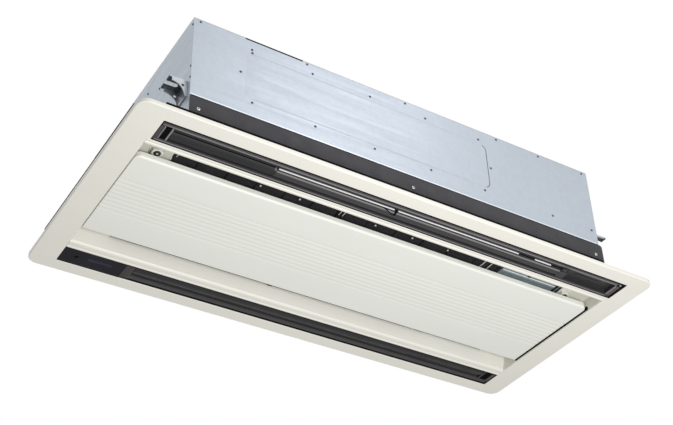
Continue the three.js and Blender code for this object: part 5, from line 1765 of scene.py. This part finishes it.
@dataclass
class Fans(Assembly):
    """The two fans with their motors, brackets and bell mouths."""

    def build(self) -> None:
        """Builds both fans."""
        for end in (end.label for end in End):
            self.refine(f"bell_mouth_{end}", Look.BLACK, 0.6)
            self.refine(f"fan_wheel_{end}", Look.CHARCOAL, 0.5, body=f"fan_{end}")
            self.refine(f"fan_shaft_{end}", Look.STEEL, 0.4, body=f"fan_{end}")
            self.refine(f"fan_motor_{end}", Look.END_ZINC, 1.5)
            self.refine(f"motor_bracket_{end}", Look.ZINC, 0.6)


# ------------------------------------------------------------------ studio


@dataclass
class Studio:
    """The camera at the photograph's place, a pale floor far below, soft lamps and a plain world."""

    position: Point = (-1413.2, -2182.9, -1750.9)
    right: Point = (0.85344, -0.52063, -0.02404)
    up: Point = (-0.29389, -0.51883, 0.80277)
    forward: Point = (0.43042, 0.67805, 0.59580)
    lens: float = 66.92
    sensor: float = 36.0
    floor_half: float = 40000.0
    floor_depth: float = -5600.0
    floor_colour: Point = (0.86, 0.86, 0.85)
    world_level: float = 0.56
    lamps: tuple[tuple[str, Point, float, float], ...] = (
        ("key_lamp", (60.0, -1720.0, -1480.0), 900.0, 40.0),
        ("side_lamp", (350.0, -1300.0, 1050.0), 700.0, 2.6),
        ("back_lamp", (600.0, 3200.0, 2400.0), 3000.0, 60.0),
    )

    def build(self) -> None:
        """Sets the scene round the object."""
        bpy.context.scene.view_settings.view_transform = "Standard"
        self.camera()
        self.floor()
        self.world()
        for lamp in self.lamps:
            self.lamp(*lamp)

    def camera(self) -> None:
        """The camera, solved from the photograph's straight edges."""
        data = bpy.data.cameras.new("camera")
        data.lens, data.sensor_width = self.lens, self.sensor
        made = linked("camera", data)
        columns = Matrix((self.right, self.up, [-v for v in self.forward])).transposed()
        made.matrix_world = Matrix.Translation(Vector(self.position) * MM) @ columns.to_4x4()
        bpy.context.scene.camera = made

    def floor(self) -> None:
        """A plain pale floor."""
        mesh = bpy.data.meshes.new("floor")
        half = self.floor_half
        corners = lifted(rectangle(-half, -half, half, half), self.floor_depth)
        mesh.from_pydata([tuple(Vector(corner) * MM) for corner in corners], [], [(0, 1, 2, 3)])
        shading = Shading("floor", self.floor_colour, 0.8)
        shading.paint(shading.tint(shading.noise(0.8, 2.0), (0.85, 0.85, 0.84), (0.87, 0.87, 0.86)))
        mesh.materials.append(shading.material)
        linked("floor", mesh)

    def world(self) -> None:
        """An even pale world that the camera, gloss and glass see as white."""
        world = bpy.data.worlds.new("studio")
        world.use_nodes = True
        tree = world.node_tree
        seen = add_node(tree, "ShaderNodeLightPath").outputs
        bright = seen["Is Camera Ray"]
        for ray in ("Is Glossy Ray", "Is Transmission Ray"):
            larger = add_node(tree, "ShaderNodeMath", {0: bright, 1: seen[ray]}, operation="MAXIMUM")
            bright = larger.outputs[0]
        levels = {"Value": bright, "To Min": self.world_level, "To Max": 1.0}
        level = add_node(tree, "ShaderNodeMapRange", levels)
        background = tree.nodes["Background"]
        background.inputs["Color"].default_value = (1.0, 1.0, 1.0, 1.0)
        tree.links.new(level.outputs["Result"], background.inputs["Strength"])
        bpy.context.scene.world = world

    @staticmethod
    def lamp(name: str, place: Point, size: float, power: float) -> None:
        """A square soft lamp that looks at the object.

        Args:
            name: its name.
            place: where it hangs.
            size: the length of its side.
            power: its power in watts.
        """
        data = bpy.data.lights.new(name, "AREA")
        data.shape, data.size, data.energy = "SQUARE", size * MM, power
        made = linked(name, data)
        made.location = Vector(place) * MM
        made.rotation_euler = (-made.location).to_track_quat("-Z", "Y").to_euler()


def main() -> None:
    logging.basicConfig(level=logging.INFO, format="%(name)s: %(message)s")
    shop = Workshop()
    Studio().build()
    assemblies = [
        Casing(shop),
        Panel(shop),
        Grille(shop),
        Intake(shop),
        Outlet(shop, Side.NEAR, NEAR_TRIM),
        Outlet(shop, Side.FAR, FAR_TRIM),
        Receiver(shop),
        Cooling(shop),
        Fans(shop),
    ]
    for assembly in assemblies:
        assembly.build()
        LOG.info("%s done", type(assembly).__name__)


if __name__ == "__main__":
    main()
